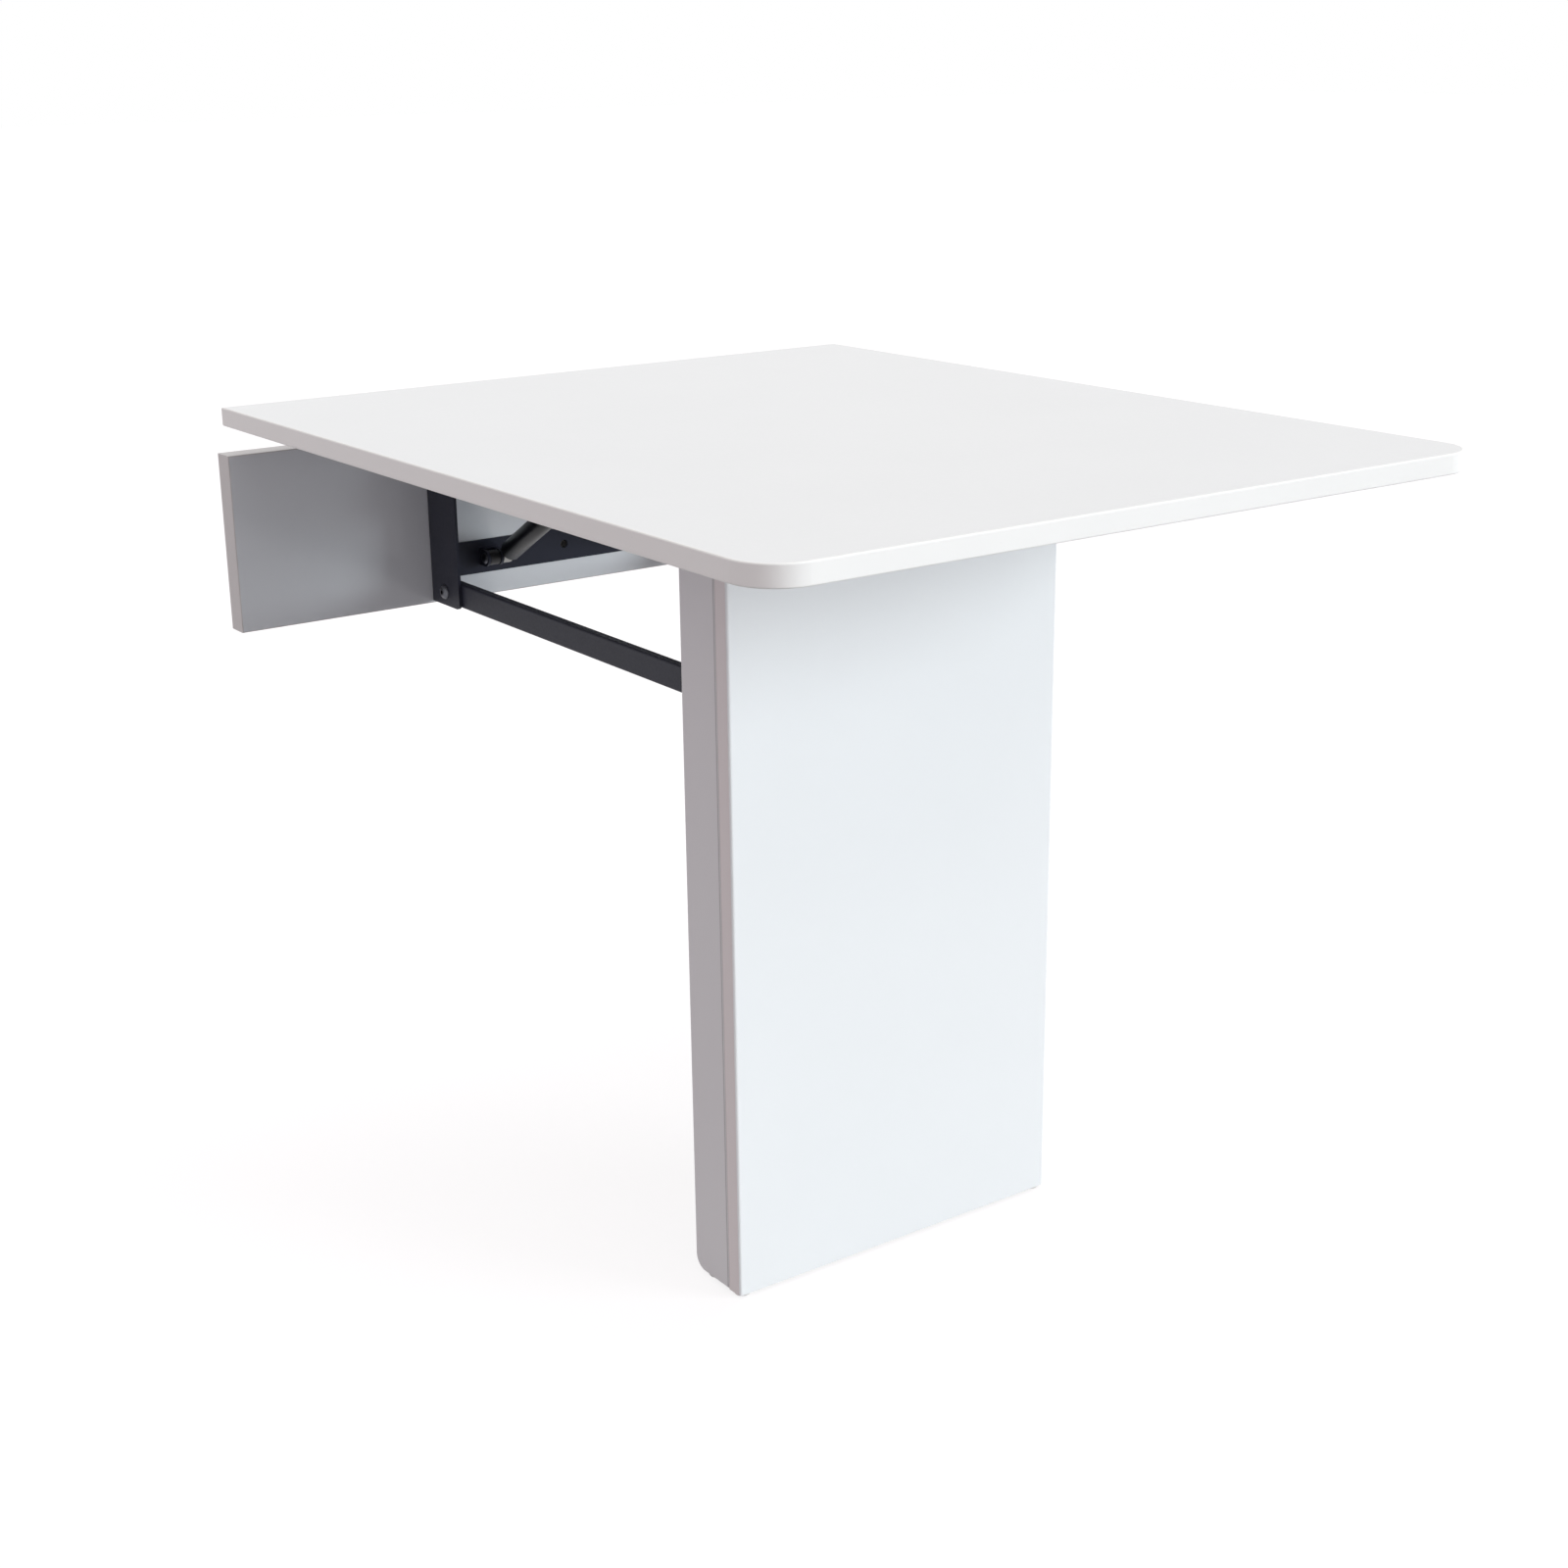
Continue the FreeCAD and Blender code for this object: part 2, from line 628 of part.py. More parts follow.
def bracket_screw_spots():
    under = "(Layout.undersideZ - Sizes.sheetThick)"
    reach = ("Layout.strutTopY - Sizes.bracketScrewOut", "Layout.strutTopY + Sizes.bracketScrewOut")
    return both_sides([("Layout.strutX", y, under) for y in reach])


def leaf_blank(inset):
    """The leaf's outline, drawn in by an inset, with its front corners rounded."""
    body = new_body()
    sketch = new_sketch(body, "XY_Plane")
    half = f"(Sizes.tableWidth / 2 - {inset})"
    front = f"Layout.leafFrontY + {inset}"
    rectangle(sketch, f"-{half}", half, front, f"Layout.leafBackY - {inset}")
    pad(body, sketch, "Sizes.boardThick")
    for side in ("", "-"):
        soften(body, f"Sizes.cornerRadius - {inset}", corner(x=side + half, y=front))
    return body


def table_top():
    body = leaf_blank("Sizes.bandThick")
    place(body, z="Layout.undersideZ")
    pilot = group([screw_holes(BOARD_SCREW, rail_screw_spots(), None),
                   screw_holes(BOARD_SCREW, bracket_screw_spots(), None)])
    node(cut(body, pilot), "table_top")


def table_edge_band():
    outer = leaf_blank("0")
    top = number("Sizes.boardThick")
    soften(outer, "Sizes.edgeRound", lambda edge: near(edge, z=0) or near(edge, z=top))
    band = cut(outer, leaf_blank("Sizes.bandThick"))
    place(band, z="Layout.undersideZ")
    node(band, "table_edge_band")


def leaf_rail():
    """A steel angle under the leaf; only its web reaches the wall and leg pivots."""
    back = "Layout.leafPivotY + Sizes.earRadius"
    front = "Layout.legPivotY - Sizes.earRadius"
    low = "Layout.undersideZ - Sizes.railDepth"
    body = side_plate([("box", front, back, low, "Layout.undersideZ")])
    flange = new_sketch(body, "YZ_Plane")
    near_wall = "Layout.leafPivotY - Sizes.railNotch"
    near_leg = "Layout.legPivotY + Sizes.railNotch"
    rectangle(flange, near_leg, near_wall, "Layout.undersideZ - Sizes.sheetThick",
              "Layout.undersideZ")
    pad(body, flange, "Sizes.flangeWidth")
    for end, notch in ((back, near_wall), (front, near_leg)):
        soften(body, "Sizes.railNose", corner(y=end, z=low))
        soften(body, "Sizes.railNose", corner(x="Sizes.flangeWidth", y=notch))
    pivots = new_sketch(body, "YZ_Plane")
    for y in ("Layout.leafPivotY", "Layout.legPivotY"):
        circle(pivots, y, "Layout.leafPivotZ", "Layout.pivotHole")
    drill(body, pivots)
    place(body, "Layout.railOutX")
    holes = screw_holes("Sizes.sheetThick", rail_screw_spots(), None)
    pair(cut(body, holes), "leaf_rail")


def strut_bracket():
    """A folded clevis under the leaf that holds the upper strut pin."""
    ear = "Sizes.earRadius"
    y = "Layout.strutTopY"
    z = "Layout.strutTopZ"
    seat = "Layout.undersideZ - Sizes.sheetThick"
    foot = "Sizes.bracketLength / 2"
    shoulder = "Sizes.bracketShoulder / 2"
    body = side_plate([
        ("box", f"{y} - {foot}", f"{y} + {foot}", seat, "Layout.undersideZ"),
        ("outline", [(f"{y} - {ear}", z), (f"{y} + {ear}", z),
                     (f"{y} + {shoulder}", seat), (f"{y} - {shoulder}", seat)]),
        ("disc", y, z, ear),
    ], "Layout.bracketWidth", [(y, z, "Layout.pivotHole")])
    place(body, "Layout.strutX - Layout.bracketWidth / 2")
    half = "Layout.bracketGap / 2"
    slot = box(f"Layout.strutX - {half}", f"Layout.strutX + {half}",
               f"{y} - {foot}", f"{y} + {foot}", f"{z} - {ear}", seat)
    holes = screw_holes("Sizes.sheetThick", bracket_screw_spots(), None)
    pair(cut(cut(body, slot), holes), "strut_bracket")


# ------------------------------------------------------------------------------- leg
def plate_screw_spots():
    """Down the pivot plate, between its two pins."""
    return [("Layout.legPlateX", "Layout.linkEndY", z)
            for z in strip("Layout.linkPivotZ", "Layout.leafPivotZ", 2)]


def leg_front_panel():
    body = new_body()
    sketch = new_sketch(body, "XY_Plane")
    rectangle(sketch, "Layout.legOutX", "-Layout.legOutX", "Layout.legFrontY", "Layout.legInnerY")
    pad(body, sketch, "Layout.legTopZ - Layout.legFootZ")
    for side in ("", "-"):
        soften(body, "Sizes.frontRound", corner(x=side + "Layout.legOutX", y="Layout.legFrontY"))
        soften(body, "Sizes.edgeRound", corner(x=side + "Layout.legOutX", y="Layout.legInnerY"))
    place(body, z="Layout.legFootZ")
    node(body, "leg_front_panel")


def leg_side():
    body = side_plate([("box", "Layout.legInnerY", "Layout.legBackY",
                        "Layout.legFootZ", "Layout.legTopZ")], "Sizes.boardThick")
    soften(body, "Sizes.footRadius", corner(y="Layout.legBackY", z="Layout.legFootZ"))
    soften(body, "Sizes.edgeRound", corner(x="0", y="Layout.legInnerY"))
    soften(body, "Sizes.edgeRound", corner(x="0", y="Layout.legBackY"))
    place(body, "Layout.legOutX")
    pair(cut(body, screw_holes(BOARD_SCREW, plate_screw_spots(), AGAINST_X)), "leg_side")


def leg_rails():
    """Foot rail and top batten, both glued between the sides to the front panel."""
    foot = box("Layout.legInX", "-Layout.legInX",
               "Layout.legInnerY", "Layout.legBackY - Sizes.footRailInset",
               "Layout.footRailZ", "Layout.footRailZ + Sizes.footRailHeight")
    node(foot, "leg_foot_rail")
    batten = box("Layout.legInX", "-Layout.legInX",
                 "Layout.legInnerY", "Layout.legInnerY + Sizes.boardThick",
                 "Layout.legTopZ - Sizes.battenHeight", "Layout.legTopZ")
    node(batten, "leg_top_batten")


def leg_plate():
    """Steel plate on a leg side, in front of the batten; an ear takes the leg's hinge."""
    ear = "Sizes.earRadius"
    body = side_plate([
        ("box", "Layout.legInnerY + Sizes.boardThick", "Layout.linkEndY + Sizes.legPlateHalf",
         "Layout.linkPivotZ - Sizes.legPlateHalf", "Layout.legTopZ"),
        ("box", "Layout.linkEndY", "Layout.legPivotY",
         f"Layout.leafPivotZ - {ear}", "Layout.legTopZ"),
        ("disc", "Layout.legPivotY", "Layout.leafPivotZ", ear),
    ], holes=[("Layout.legPivotY", "Layout.leafPivotZ", "Layout.pivotHole"),
              ("Layout.linkEndY", "Layout.linkPivotZ", "Layout.pivotHole")])
    place(body, "Layout.legInX")
    holes = screw_holes("Sizes.sheetThick", plate_screw_spots(), AGAINST_X)
    pair(cut(body, holes), "leg_pivot_plate")


def shoulder_pin(label, outer_face, inner_face, y, z):
    """A pin riveted in a leg plate: a shoulder up to the moving part, then its nut."""
    shoulder = f"{outer_face} - Sizes.sidePlay - Layout.legInX"
    end = f"{nut_reach(inner_face)} - Layout.legInX"
    pin = turned([
        ("0", "0"),
        ("Sizes.boltRadius", "0"),
        ("Sizes.boltRadius", "Sizes.sheetThick"),
        ("Layout.shoulderRadius", "Sizes.sheetThick"),
        ("Layout.shoulderRadius", shoulder),
        ("Sizes.boltRadius", shoulder),
        ("Sizes.boltRadius", end),
        ("0", end),
    ])
    place(pin, "Layout.legInX", y, z, ALONG_X)
    pair(group([pin, pivot_nut(f"{inner_face} + Sizes.sidePlay", y, z)]), label)


def leg_pins():
    shoulder_pin("leg_hinge_pin", "Layout.railOutX", "Layout.railInX",
                 "Layout.legPivotY", "Layout.leafPivotZ")
    shoulder_pin("link_end_pin", "Layout.linkOutX", "Layout.linkInX",
                 "Layout.linkEndY", "Layout.linkPivotZ")


def leg_glides():
    """Round glides, pressed on at the four corners of the leg's foot."""
    middle = "(Layout.legOutX + Layout.legInX) / 2"
    spots = ["Layout.legFrontY + Sizes.boardThick / 2",
             "Layout.legBackY - Sizes.footRadius - Sizes.glideRadius"]
    glides = [rod("Sizes.glideRadius", "Sizes.glideHeight", side + middle, y, "Layout.floorZ")
              for y in spots for side in ("", "-")]
    node(group(glides), "leg_glides")


# ----------------------------------------------------------------------------- links
def link():
    """A rectangular steel tube with a bush at each pivot and a plug in each end."""
    half_x = "Sizes.linkWidth / 2"
    half_z = "Sizes.linkHeight / 2"
    body = link_block("Sizes.armLength + 2 * Sizes.linkEnd", "-Sizes.linkEnd")
    hollow = new_sketch(body, "XZ_Plane")
    wall = "Sizes.linkWall"
    rectangle(hollow, f"-({half_x} - {wall})", f"{half_x} - {wall}",
              f"-({half_z} - {wall})", f"{half_z} - {wall}")
    drill(body, hollow)
    bores = new_sketch(body, "YZ_Plane")
    circle(bores, "0", "0", "Layout.bushRadius")
    circle(bores, "-Sizes.armLength", "0", "Layout.bushRadius")
    drill(body, bores)
    place(body, "Layout.linkX", "Layout.linkPivotY", "Layout.linkPivotZ")
    pair(body, "link")

    bushes = [tube("Layout.bushRadius", f"Sizes.boltRadius + Sizes.{play}", "Sizes.linkWidth",
                   "Layout.linkOutX", y, "Layout.linkPivotZ", ALONG_X)
              for y, play in (("Layout.linkPivotY", "fit"), ("Layout.linkEndY", "looseFit"))]
    pair(group(bushes), "link_bushes")

    back_plug = link_plug()
    place(back_plug, "Layout.linkX", "Layout.linkPivotY + Sizes.linkEnd", "Layout.linkPivotZ",
          (Vector(0, 0, 1), 180))
    front_plug = link_plug()
    place(front_plug, "Layout.linkX", "Layout.linkEndY - Sizes.linkEnd", "Layout.linkPivotZ")
    pair(group([back_plug, front_plug]), "link_plugs")


def link_block(length, lift="0"):
    """A bar with the link's outline and rounded corners, running towards -Y."""
    body = new_body()
    sketch = new_sketch(body, "XZ_Plane", lift)
    half_x = "Sizes.linkWidth / 2"
    half_z = "Sizes.linkHeight / 2"
    rectangle(sketch, f"-{half_x}", half_x, f"-{half_z}", half_z)
    pad(body, sketch, length)
    soften(body, "Sizes.linkRound", lambda edge: along(edge, "y"))
    return body


def link_plug():
    """A flange over the tube's end, at y = 0, with a stem inside the tube, along +Y."""
    plug = link_block("Sizes.plugFlange")
    stem = new_sketch(plug, "XZ_Plane", "-Sizes.plugStem")
    in_x = "(Sizes.linkWidth / 2 - Sizes.linkWall - Sizes.plugPlay)"
    in_z = "(Sizes.linkHeight / 2 - Sizes.linkWall - Sizes.plugPlay)"
    rectangle(stem, f"-{in_x}", in_x, f"-{in_z}", in_z)
    pad(plug, stem, "Sizes.plugStem")
    return plug


# ---------------------------------------------------------------------------- struts
def strut_eye(length):
    """An eye on the X axis with a round neck along +Z, up to the given length."""
    disc = side_plate([("disc", "0", "0", "Sizes.eyeRadius")], "Sizes.eyeWidth")
    place(disc, "-Sizes.eyeWidth / 2")
    whole = doc.addObject("Part::Fuse", "Fuse")
    whole.Base = disc
    whole.Tool = rod("Sizes.neckRadius", length, "0", "0", "0")
    bore = rod("Layout.pivotHole", "Sizes.eyeWidth", "-Sizes.eyeWidth / 2", "0", "0", ALONG_X)
    return cut(whole, bore)


def at_lug(thing, label):
    """Leans a thing drawn along +Z to the strut's line, from the lower pin."""
    place(thing, "Layout.strutX", "Layout.lugPivotY", "Layout.plateZ",
          (Vector(1, 0, 0), "Layout.strutLean"))
    pair(thing, label)


def at_bracket(thing, label):
    """Leans a thing drawn along -Z to the strut's line, from the upper pin."""
    place(thing, "Layout.strutX", "Layout.strutTopY", "Layout.strutTopZ",
          (Vector(1, 0, 0), "Layout.strutLean"))
    pair(thing, label)


def strut():
    """Gas strut: eye and cylinder from the lug, rod and eye from the leaf bracket."""
    at_lug(strut_eye("Sizes.tubeStart"), "strut_lower_eye")

    start = "Sizes.tubeStart"
    end = "(Sizes.tubeStart + Sizes.tubeLength)"
    outer = "Sizes.tubeRadius"
    inner = "(Sizes.tubeRadius - Sizes.tubeWall)"
    floor = f"{start} + Sizes.mouthDepth"
    shoulder = f"{end} - Sizes.mouthDepth"
    at_lug(turned([
        ("0", start),
        (f"{outer} - Sizes.mouthDepth / 2", start),
        (outer, f"{start} + Sizes.mouthDepth / 2"),
        (outer, shoulder),
        ("Sizes.mouthRadius + Sizes.tubeWall", end),
        ("Sizes.mouthRadius", end),
        (inner, shoulder),
        (inner, floor),
        ("0", floor),
    ]), "strut_cylinder")

    upper_eye = strut_eye("Sizes.rodStart")
    place(upper_eye, turn=UPSIDE_DOWN)
    at_bracket(group([upper_eye]), "strut_upper_eye")

    at_bracket(turned([
        ("0", "-Sizes.rodStart"),
        ("Sizes.rodRadius", "-Sizes.rodStart"),
        ("Sizes.rodRadius", "-Sizes.rodLength + Sizes.pistonLength"),
        ("Sizes.pistonRadius", "-Sizes.rodLength + Sizes.pistonLength"),
        ("Sizes.pistonRadius", "-Sizes.rodLength"),
        ("0", "-Sizes.rodLength"),
    ]), "strut_rod")


def headed_pin(length):
    """A clevis pin along +Z with a round head at each end."""
    head = "Sizes.pinHeadRadius"
    return turned([
        ("0", "-Sizes.pinHeadHeight"),
        (head, "-Sizes.pinHeadHeight"),
        (head, "0"),
        ("Sizes.boltRadius", "0"),
        ("Sizes.boltRadius", length),
        (head, length),
        (head, f"{length} + Sizes.pinHeadHeight"),
        ("0", f"{length} + Sizes.pinHeadHeight"),
    ])


def strut_pins():
    """The lower pin carries its eye beside the lug; the upper one crosses the clevis."""
    lower = headed_pin("Sizes.lugWidth + 2 * Sizes.eyeGap + Sizes.eyeWidth")
    place(lower, "Layout.lugX", "Layout.lugPivotY", "Layout.plateZ", ALONG_X)
    pair(lower, "strut_lower_pin")
    upper = headed_pin("Layout.bracketWidth")
    place(upper, "Layout.strutX - Layout.bracketWidth / 2", "Layout.strutTopY",
          "Layout.strutTopZ", ALONG_X)
    pair(upper, "strut_upper_pin")


# ------------------------------------------------------------------------- the table
def build():
    fill_sheets()
    wall_panel()
    wall_panel_band()
    upright()
    cross_plate()
    strut_lug()
    wall_pivots()
    node(screw_set(FRAME_SCREW, frame_screw_spots(), INTO_WALL), "frame_screws")
    table_top()
    table_edge_band()
    leaf_rail()
    node(screw_set(BOARD_SCREW, rail_screw_spots(), None), "leaf_rail_screws")
    strut_bracket()
    node(screw_set(BOARD_SCREW, bracket_screw_spots(), None), "strut_bracket_screws")
    leg_front_panel()
    leg_side()
    leg_rails()
    leg_plate()
    pair(screw_set(BOARD_SCREW, plate_screw_spots(), AGAINST_X), "leg_plate_screws")
    leg_pins()
    leg_glides()
    link()
    strut()
    strut_pins()


def check_and_export():
    doc.recompute()
    doc.removeObject(scratch.Name)
    for thing in doc.Objects:
        if "Invalid" in thing.State or "Error" in thing.State:
            raise RuntimeError(f"{thing.Label} is {thing.State}")
    os.makedirs("parts", exist_ok=True)
    for thing in nodes:
        shape = thing.Shape
        if shape.isNull() or not shape.isValid() or not shape.Solids:
            raise RuntimeError(thing.Label + " has no valid solid")
        shape.exportStep(f"parts/{thing.Label}.step")
    print(len(nodes), "nodes,", sum(len(thing.Shape.Solids) for thing in nodes), "solids")


build()
check_and_export()
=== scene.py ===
import json
import math

import bmesh
import bpy
from mathutils import Matrix, Vector


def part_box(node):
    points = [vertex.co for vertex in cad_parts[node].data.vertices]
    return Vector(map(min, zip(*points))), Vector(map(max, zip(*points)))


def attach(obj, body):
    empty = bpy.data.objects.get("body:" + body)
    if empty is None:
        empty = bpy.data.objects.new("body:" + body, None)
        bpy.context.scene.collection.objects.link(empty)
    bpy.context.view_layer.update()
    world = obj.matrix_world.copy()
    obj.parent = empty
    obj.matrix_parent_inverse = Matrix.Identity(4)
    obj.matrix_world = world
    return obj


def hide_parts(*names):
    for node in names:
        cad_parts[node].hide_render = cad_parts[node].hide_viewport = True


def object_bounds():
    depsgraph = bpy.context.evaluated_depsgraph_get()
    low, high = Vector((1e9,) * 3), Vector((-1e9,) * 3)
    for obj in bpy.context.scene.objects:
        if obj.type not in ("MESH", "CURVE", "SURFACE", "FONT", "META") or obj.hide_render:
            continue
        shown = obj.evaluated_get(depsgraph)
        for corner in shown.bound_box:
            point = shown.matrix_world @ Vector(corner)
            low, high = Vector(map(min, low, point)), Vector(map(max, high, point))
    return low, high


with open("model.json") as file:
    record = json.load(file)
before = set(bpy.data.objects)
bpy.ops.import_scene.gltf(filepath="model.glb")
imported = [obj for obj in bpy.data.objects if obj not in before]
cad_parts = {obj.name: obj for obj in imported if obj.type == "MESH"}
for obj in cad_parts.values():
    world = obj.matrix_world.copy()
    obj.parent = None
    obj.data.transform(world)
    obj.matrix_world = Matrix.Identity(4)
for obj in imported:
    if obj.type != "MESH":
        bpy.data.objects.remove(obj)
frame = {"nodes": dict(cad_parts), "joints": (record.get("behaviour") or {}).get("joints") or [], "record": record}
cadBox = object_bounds()
floorHeight = cadBox[0][2]       # the leg stands on the floor
axes = {joint["name"]: joint["pos_m"] for joint in frame["joints"]}     # a point on each joint's axis
print("frame loaded:", len(frame["nodes"]), "nodes")


def linearColour(code):
    parts = [int(code[i:i + 2], 16) / 255 for i in (1, 3, 5)]
    return [p / 12.92 if p <= 0.04045 else ((p + 0.055) / 1.055) ** 2.4 for p in parts] + [1]


def addNode(tree, kind, settings, inputs):
    node = tree.nodes.new(kind)
    for name, value in settings.items():
        setattr(node, name, value)
    for name, value in inputs.items():
        if isinstance(value, bpy.types.NodeSocket):
            tree.links.new(value, node.inputs[name])
        else:
            node.inputs[name].default_value = value
    return node


def startMaterial(name):
    material = bpy.data.materials.new(name)
    material.use_nodes = True
    material.node_tree.nodes.clear()
    return material, material.node_tree


def endMaterial(material, inputs):
    tree = material.node_tree
    shader = addNode(tree, "ShaderNodeBsdfPrincipled", {}, inputs)
    addNode(tree, "ShaderNodeOutputMaterial", {}, {"Surface": shader.outputs["BSDF"]})
    return material


def clouded(tree, place, tones, clouds):
    # two tones that run into each other, in clouds of a size in mm and a detail
    size, detail = clouds
    noise = addNode(tree, "ShaderNodeTexNoise", {},
                    {"Vector": place, "Scale": 1000 / size, "Detail": detail})
    mix = addNode(tree, "ShaderNodeMix", {"data_type": "RGBA"},
                  {0: noise.outputs["Fac"], 6: linearColour(tones[0]), 7: linearColour(tones[1])})
    return mix.outputs[2]


def grained(tree, place, look):
    # a grain of a size in mm and a detail, which moves gloss and relief together
    size, detail = look["grain"]
    least, most = look["roughness"]
    strength, depth = look["relief"]
    noise = addNode(tree, "ShaderNodeTexNoise", {},
                    {"Vector": place, "Scale": 1000 / size, "Detail": detail})
    gloss = addNode(tree, "ShaderNodeMapRange", {},
                    {"Value": noise.outputs["Fac"], "To Min": least, "To Max": most})
    relief = addNode(tree, "ShaderNodeBump", {},
                     {"Height": noise.outputs["Fac"], "Strength": strength, "Distance": depth})
    return {"Roughness": gloss.outputs["Result"], "Normal": relief.outputs["Normal"]}


def finished(name, look, variant="tones"):
    # two tones are clouded, and a finish without clouds has one colour
    material, tree = startMaterial(name)
    place = addNode(tree, "ShaderNodeTexCoord", {}, {}).outputs["Object"]
    tones = look[variant]
    colour = clouded(tree, place, tones, look["clouds"]) if "clouds" in look else linearColour(tones)
    return endMaterial(material, {"Base Color": colour, **grained(tree, place, look),
                                  **look.get("extra", {})})


# melamine-faced chipboard: resin paper pressed hot against an etched steel plate, so an
# even satin white; its 0.5 mm pearl is drawn at 3 mm to show. The leg's side boards are the
# same melamine as its front board, drawn darker: painted shade on the side faces
melamine = {
    "leaf": ("#e2e3e4", "#e5e6e7"), "leg": ("#edeff1", "#f0f2f4"), "legSideShaded": ("#e4e4e6", "#e7e7e9"),
    "clouds": (160, 3), "grain": (3, 4), "roughness": (0.32, 0.5), "relief": (0.12, 0.0002),
}

# on the leg's outer faces: the edge band of its front board, and the joint behind it, whose
# shadow is full out to the core and ends at the reach
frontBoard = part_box("leg_front_panel")[1]
legJoint = {
    "band": ("#e9e2e2", "#ede7e7"), "shadow": "#8d8787", "core": 0.0006, "reach": 0.0026,
    "strength": 0.62, "joint": frontBoard.y, "outside": frontBoard.x - 0.0003,
}


def legMelamine(name, tones):
    j = legJoint
    material, tree = startMaterial(name)
    place = addNode(tree, "ShaderNodeTexCoord", {}, {}).outputs["Object"]
    spot = addNode(tree, "ShaderNodeSeparateXYZ", {}, {"Vector": place}).outputs
    across = addNode(tree, "ShaderNodeMath", {"operation": "ABSOLUTE"}, {0: spot["X"]})
    outside = addNode(tree, "ShaderNodeMath", {"operation": "GREATER_THAN"},
                      {0: across.outputs[0], 1: j["outside"]})
    ahead = addNode(tree, "ShaderNodeMath", {"operation": "LESS_THAN"}, {0: spot["Y"], 1: j["joint"]})
    onBand = addNode(tree, "ShaderNodeMath", {"operation": "MULTIPLY"},
                     {0: outside.outputs[0], 1: ahead.outputs[0]})
    board = clouded(tree, place, tones, melamine["clouds"])
    band = clouded(tree, place, j["band"], melamine["clouds"])
    banded = addNode(tree, "ShaderNodeMix", {"data_type": "RGBA"},
                     {0: onBand.outputs[0], 6: board, 7: band})
    fromJoint = addNode(tree, "ShaderNodeMath", {"operation": "SUBTRACT"}, {0: spot["Y"], 1: j["joint"]})
    away = addNode(tree, "ShaderNodeMath", {"operation": "ABSOLUTE"}, {0: fromJoint.outputs[0]})
    shade = addNode(tree, "ShaderNodeMapRange", {"interpolation_type": "SMOOTHSTEP"},
                    {"Value": away.outputs[0], "From Min": j["core"], "From Max": j["reach"],
                     "To Min": j["strength"], "To Max": 0})
    shadeOutside = addNode(tree, "ShaderNodeMath", {"operation": "MULTIPLY"},
                           {0: shade.outputs["Result"], 1: outside.outputs[0]})
    jointed = addNode(tree, "ShaderNodeMix", {"data_type": "RGBA"},
                      {0: shadeOutside.outputs[0], 6: banded.outputs[2], 7: linearColour(j["shadow"])})
    return endMaterial(material, {"Base Color": jointed.outputs[2], **grained(tree, place, melamine)})


# sprayed and cured lacquer: closed, glossy, pale grey, with the soft 6 mm waves of orange
# peel; the bolt holes drilled later show brown fibreboard, drawn near black as painted
# shade inside the holes
lacquer = {
    "coat": ("#d5d8dd", "#d9dce1"), "clouds": (110, 2), "peel": (6, 1), "relief": (0.1, 0.0001),
    "roughness": 0.14, "coatWeight": 0.9, "coatRoughness": 0.06,
    "shadedRawBoard": ("#1b1613", "#2c241d"), "fibre": (1.5, 3), "rawRoughness": 0.85,
}
# the four corner holes and the middle one, whose walls are raw board behind the front face,
# darkened near black with painted shade
wallBoltHoles = {"across": 0.1425, "rise": 0.06, "middle": -0.057, "radius": 0.005, "front": -0.0249}


def sprayedLacquer():
    h = wallBoltHoles
    material, tree = startMaterial("sprayedLacquer")
    place = addNode(tree, "ShaderNodeTexCoord", {}, {}).outputs["Object"]
    spot = addNode(tree, "ShaderNodeSeparateXYZ", {}, {"Vector": place}).outputs
    across = addNode(tree, "ShaderNodeMath", {"operation": "ABSOLUTE"}, {0: spot["X"]})
    rise = addNode(tree, "ShaderNodeMath", {"operation": "ABSOLUTE"}, {0: spot["Z"]})
    corner = addNode(tree, "ShaderNodeCombineXYZ", {}, {"X": across.outputs[0], "Y": rise.outputs[0]})
    middle = addNode(tree, "ShaderNodeCombineXYZ", {}, {"X": spot["X"], "Y": spot["Z"]})
    toCorner = addNode(tree, "ShaderNodeVectorMath", {"operation": "DISTANCE"},
                       {0: corner.outputs["Vector"], 1: (h["across"], h["rise"], 0)})
    toMiddle = addNode(tree, "ShaderNodeVectorMath", {"operation": "DISTANCE"},
                       {0: middle.outputs["Vector"], 1: (0, h["middle"], 0)})
    nearest = addNode(tree, "ShaderNodeMath", {"operation": "MINIMUM"},
                      {0: toCorner.outputs["Value"], 1: toMiddle.outputs["Value"]})
    within = addNode(tree, "ShaderNodeMath", {"operation": "LESS_THAN"},
                     {0: nearest.outputs[0], 1: h["radius"]})
    deep = addNode(tree, "ShaderNodeMath", {"operation": "GREATER_THAN"}, {0: spot["Y"], 1: h["front"]})
    inHole = addNode(tree, "ShaderNodeMath", {"operation": "MULTIPLY"},
                     {0: within.outputs[0], 1: deep.outputs[0]})
    coat = clouded(tree, place, lacquer["coat"], lacquer["clouds"])
    # hole walls: brown board drawn near black, painted shade inside the holes
    shadedRawBoard = clouded(tree, place, lacquer["shadedRawBoard"], lacquer["fibre"])
    colour = addNode(tree, "ShaderNodeMix", {"data_type": "RGBA"}, {0: inHole.outputs[0], 6: coat, 7: shadedRawBoard})
    gloss = addNode(tree, "ShaderNodeMapRange", {},
                    {"Value": inHole.outputs[0], "To Min": lacquer["roughness"],
                     "To Max": lacquer["rawRoughness"]})
    size, detail = lacquer["peel"]
    strength, depth = lacquer["relief"]
    peel = addNode(tree, "ShaderNodeTexNoise", {},
                   {"Vector": place, "Scale": 1000 / size, "Detail": detail})
    relief = addNode(tree, "ShaderNodeBump", {},
                     {"Height": peel.outputs["Fac"], "Strength": strength, "Distance": depth})
    return endMaterial(material, {"Base Color": colour.outputs[2], "Roughness": gloss.outputs["Result"],
                                  "Normal": relief.outputs["Normal"], "Coat Weight": lacquer["coatWeight"],
                                  "Coat Roughness": lacquer["coatRoughness"]})


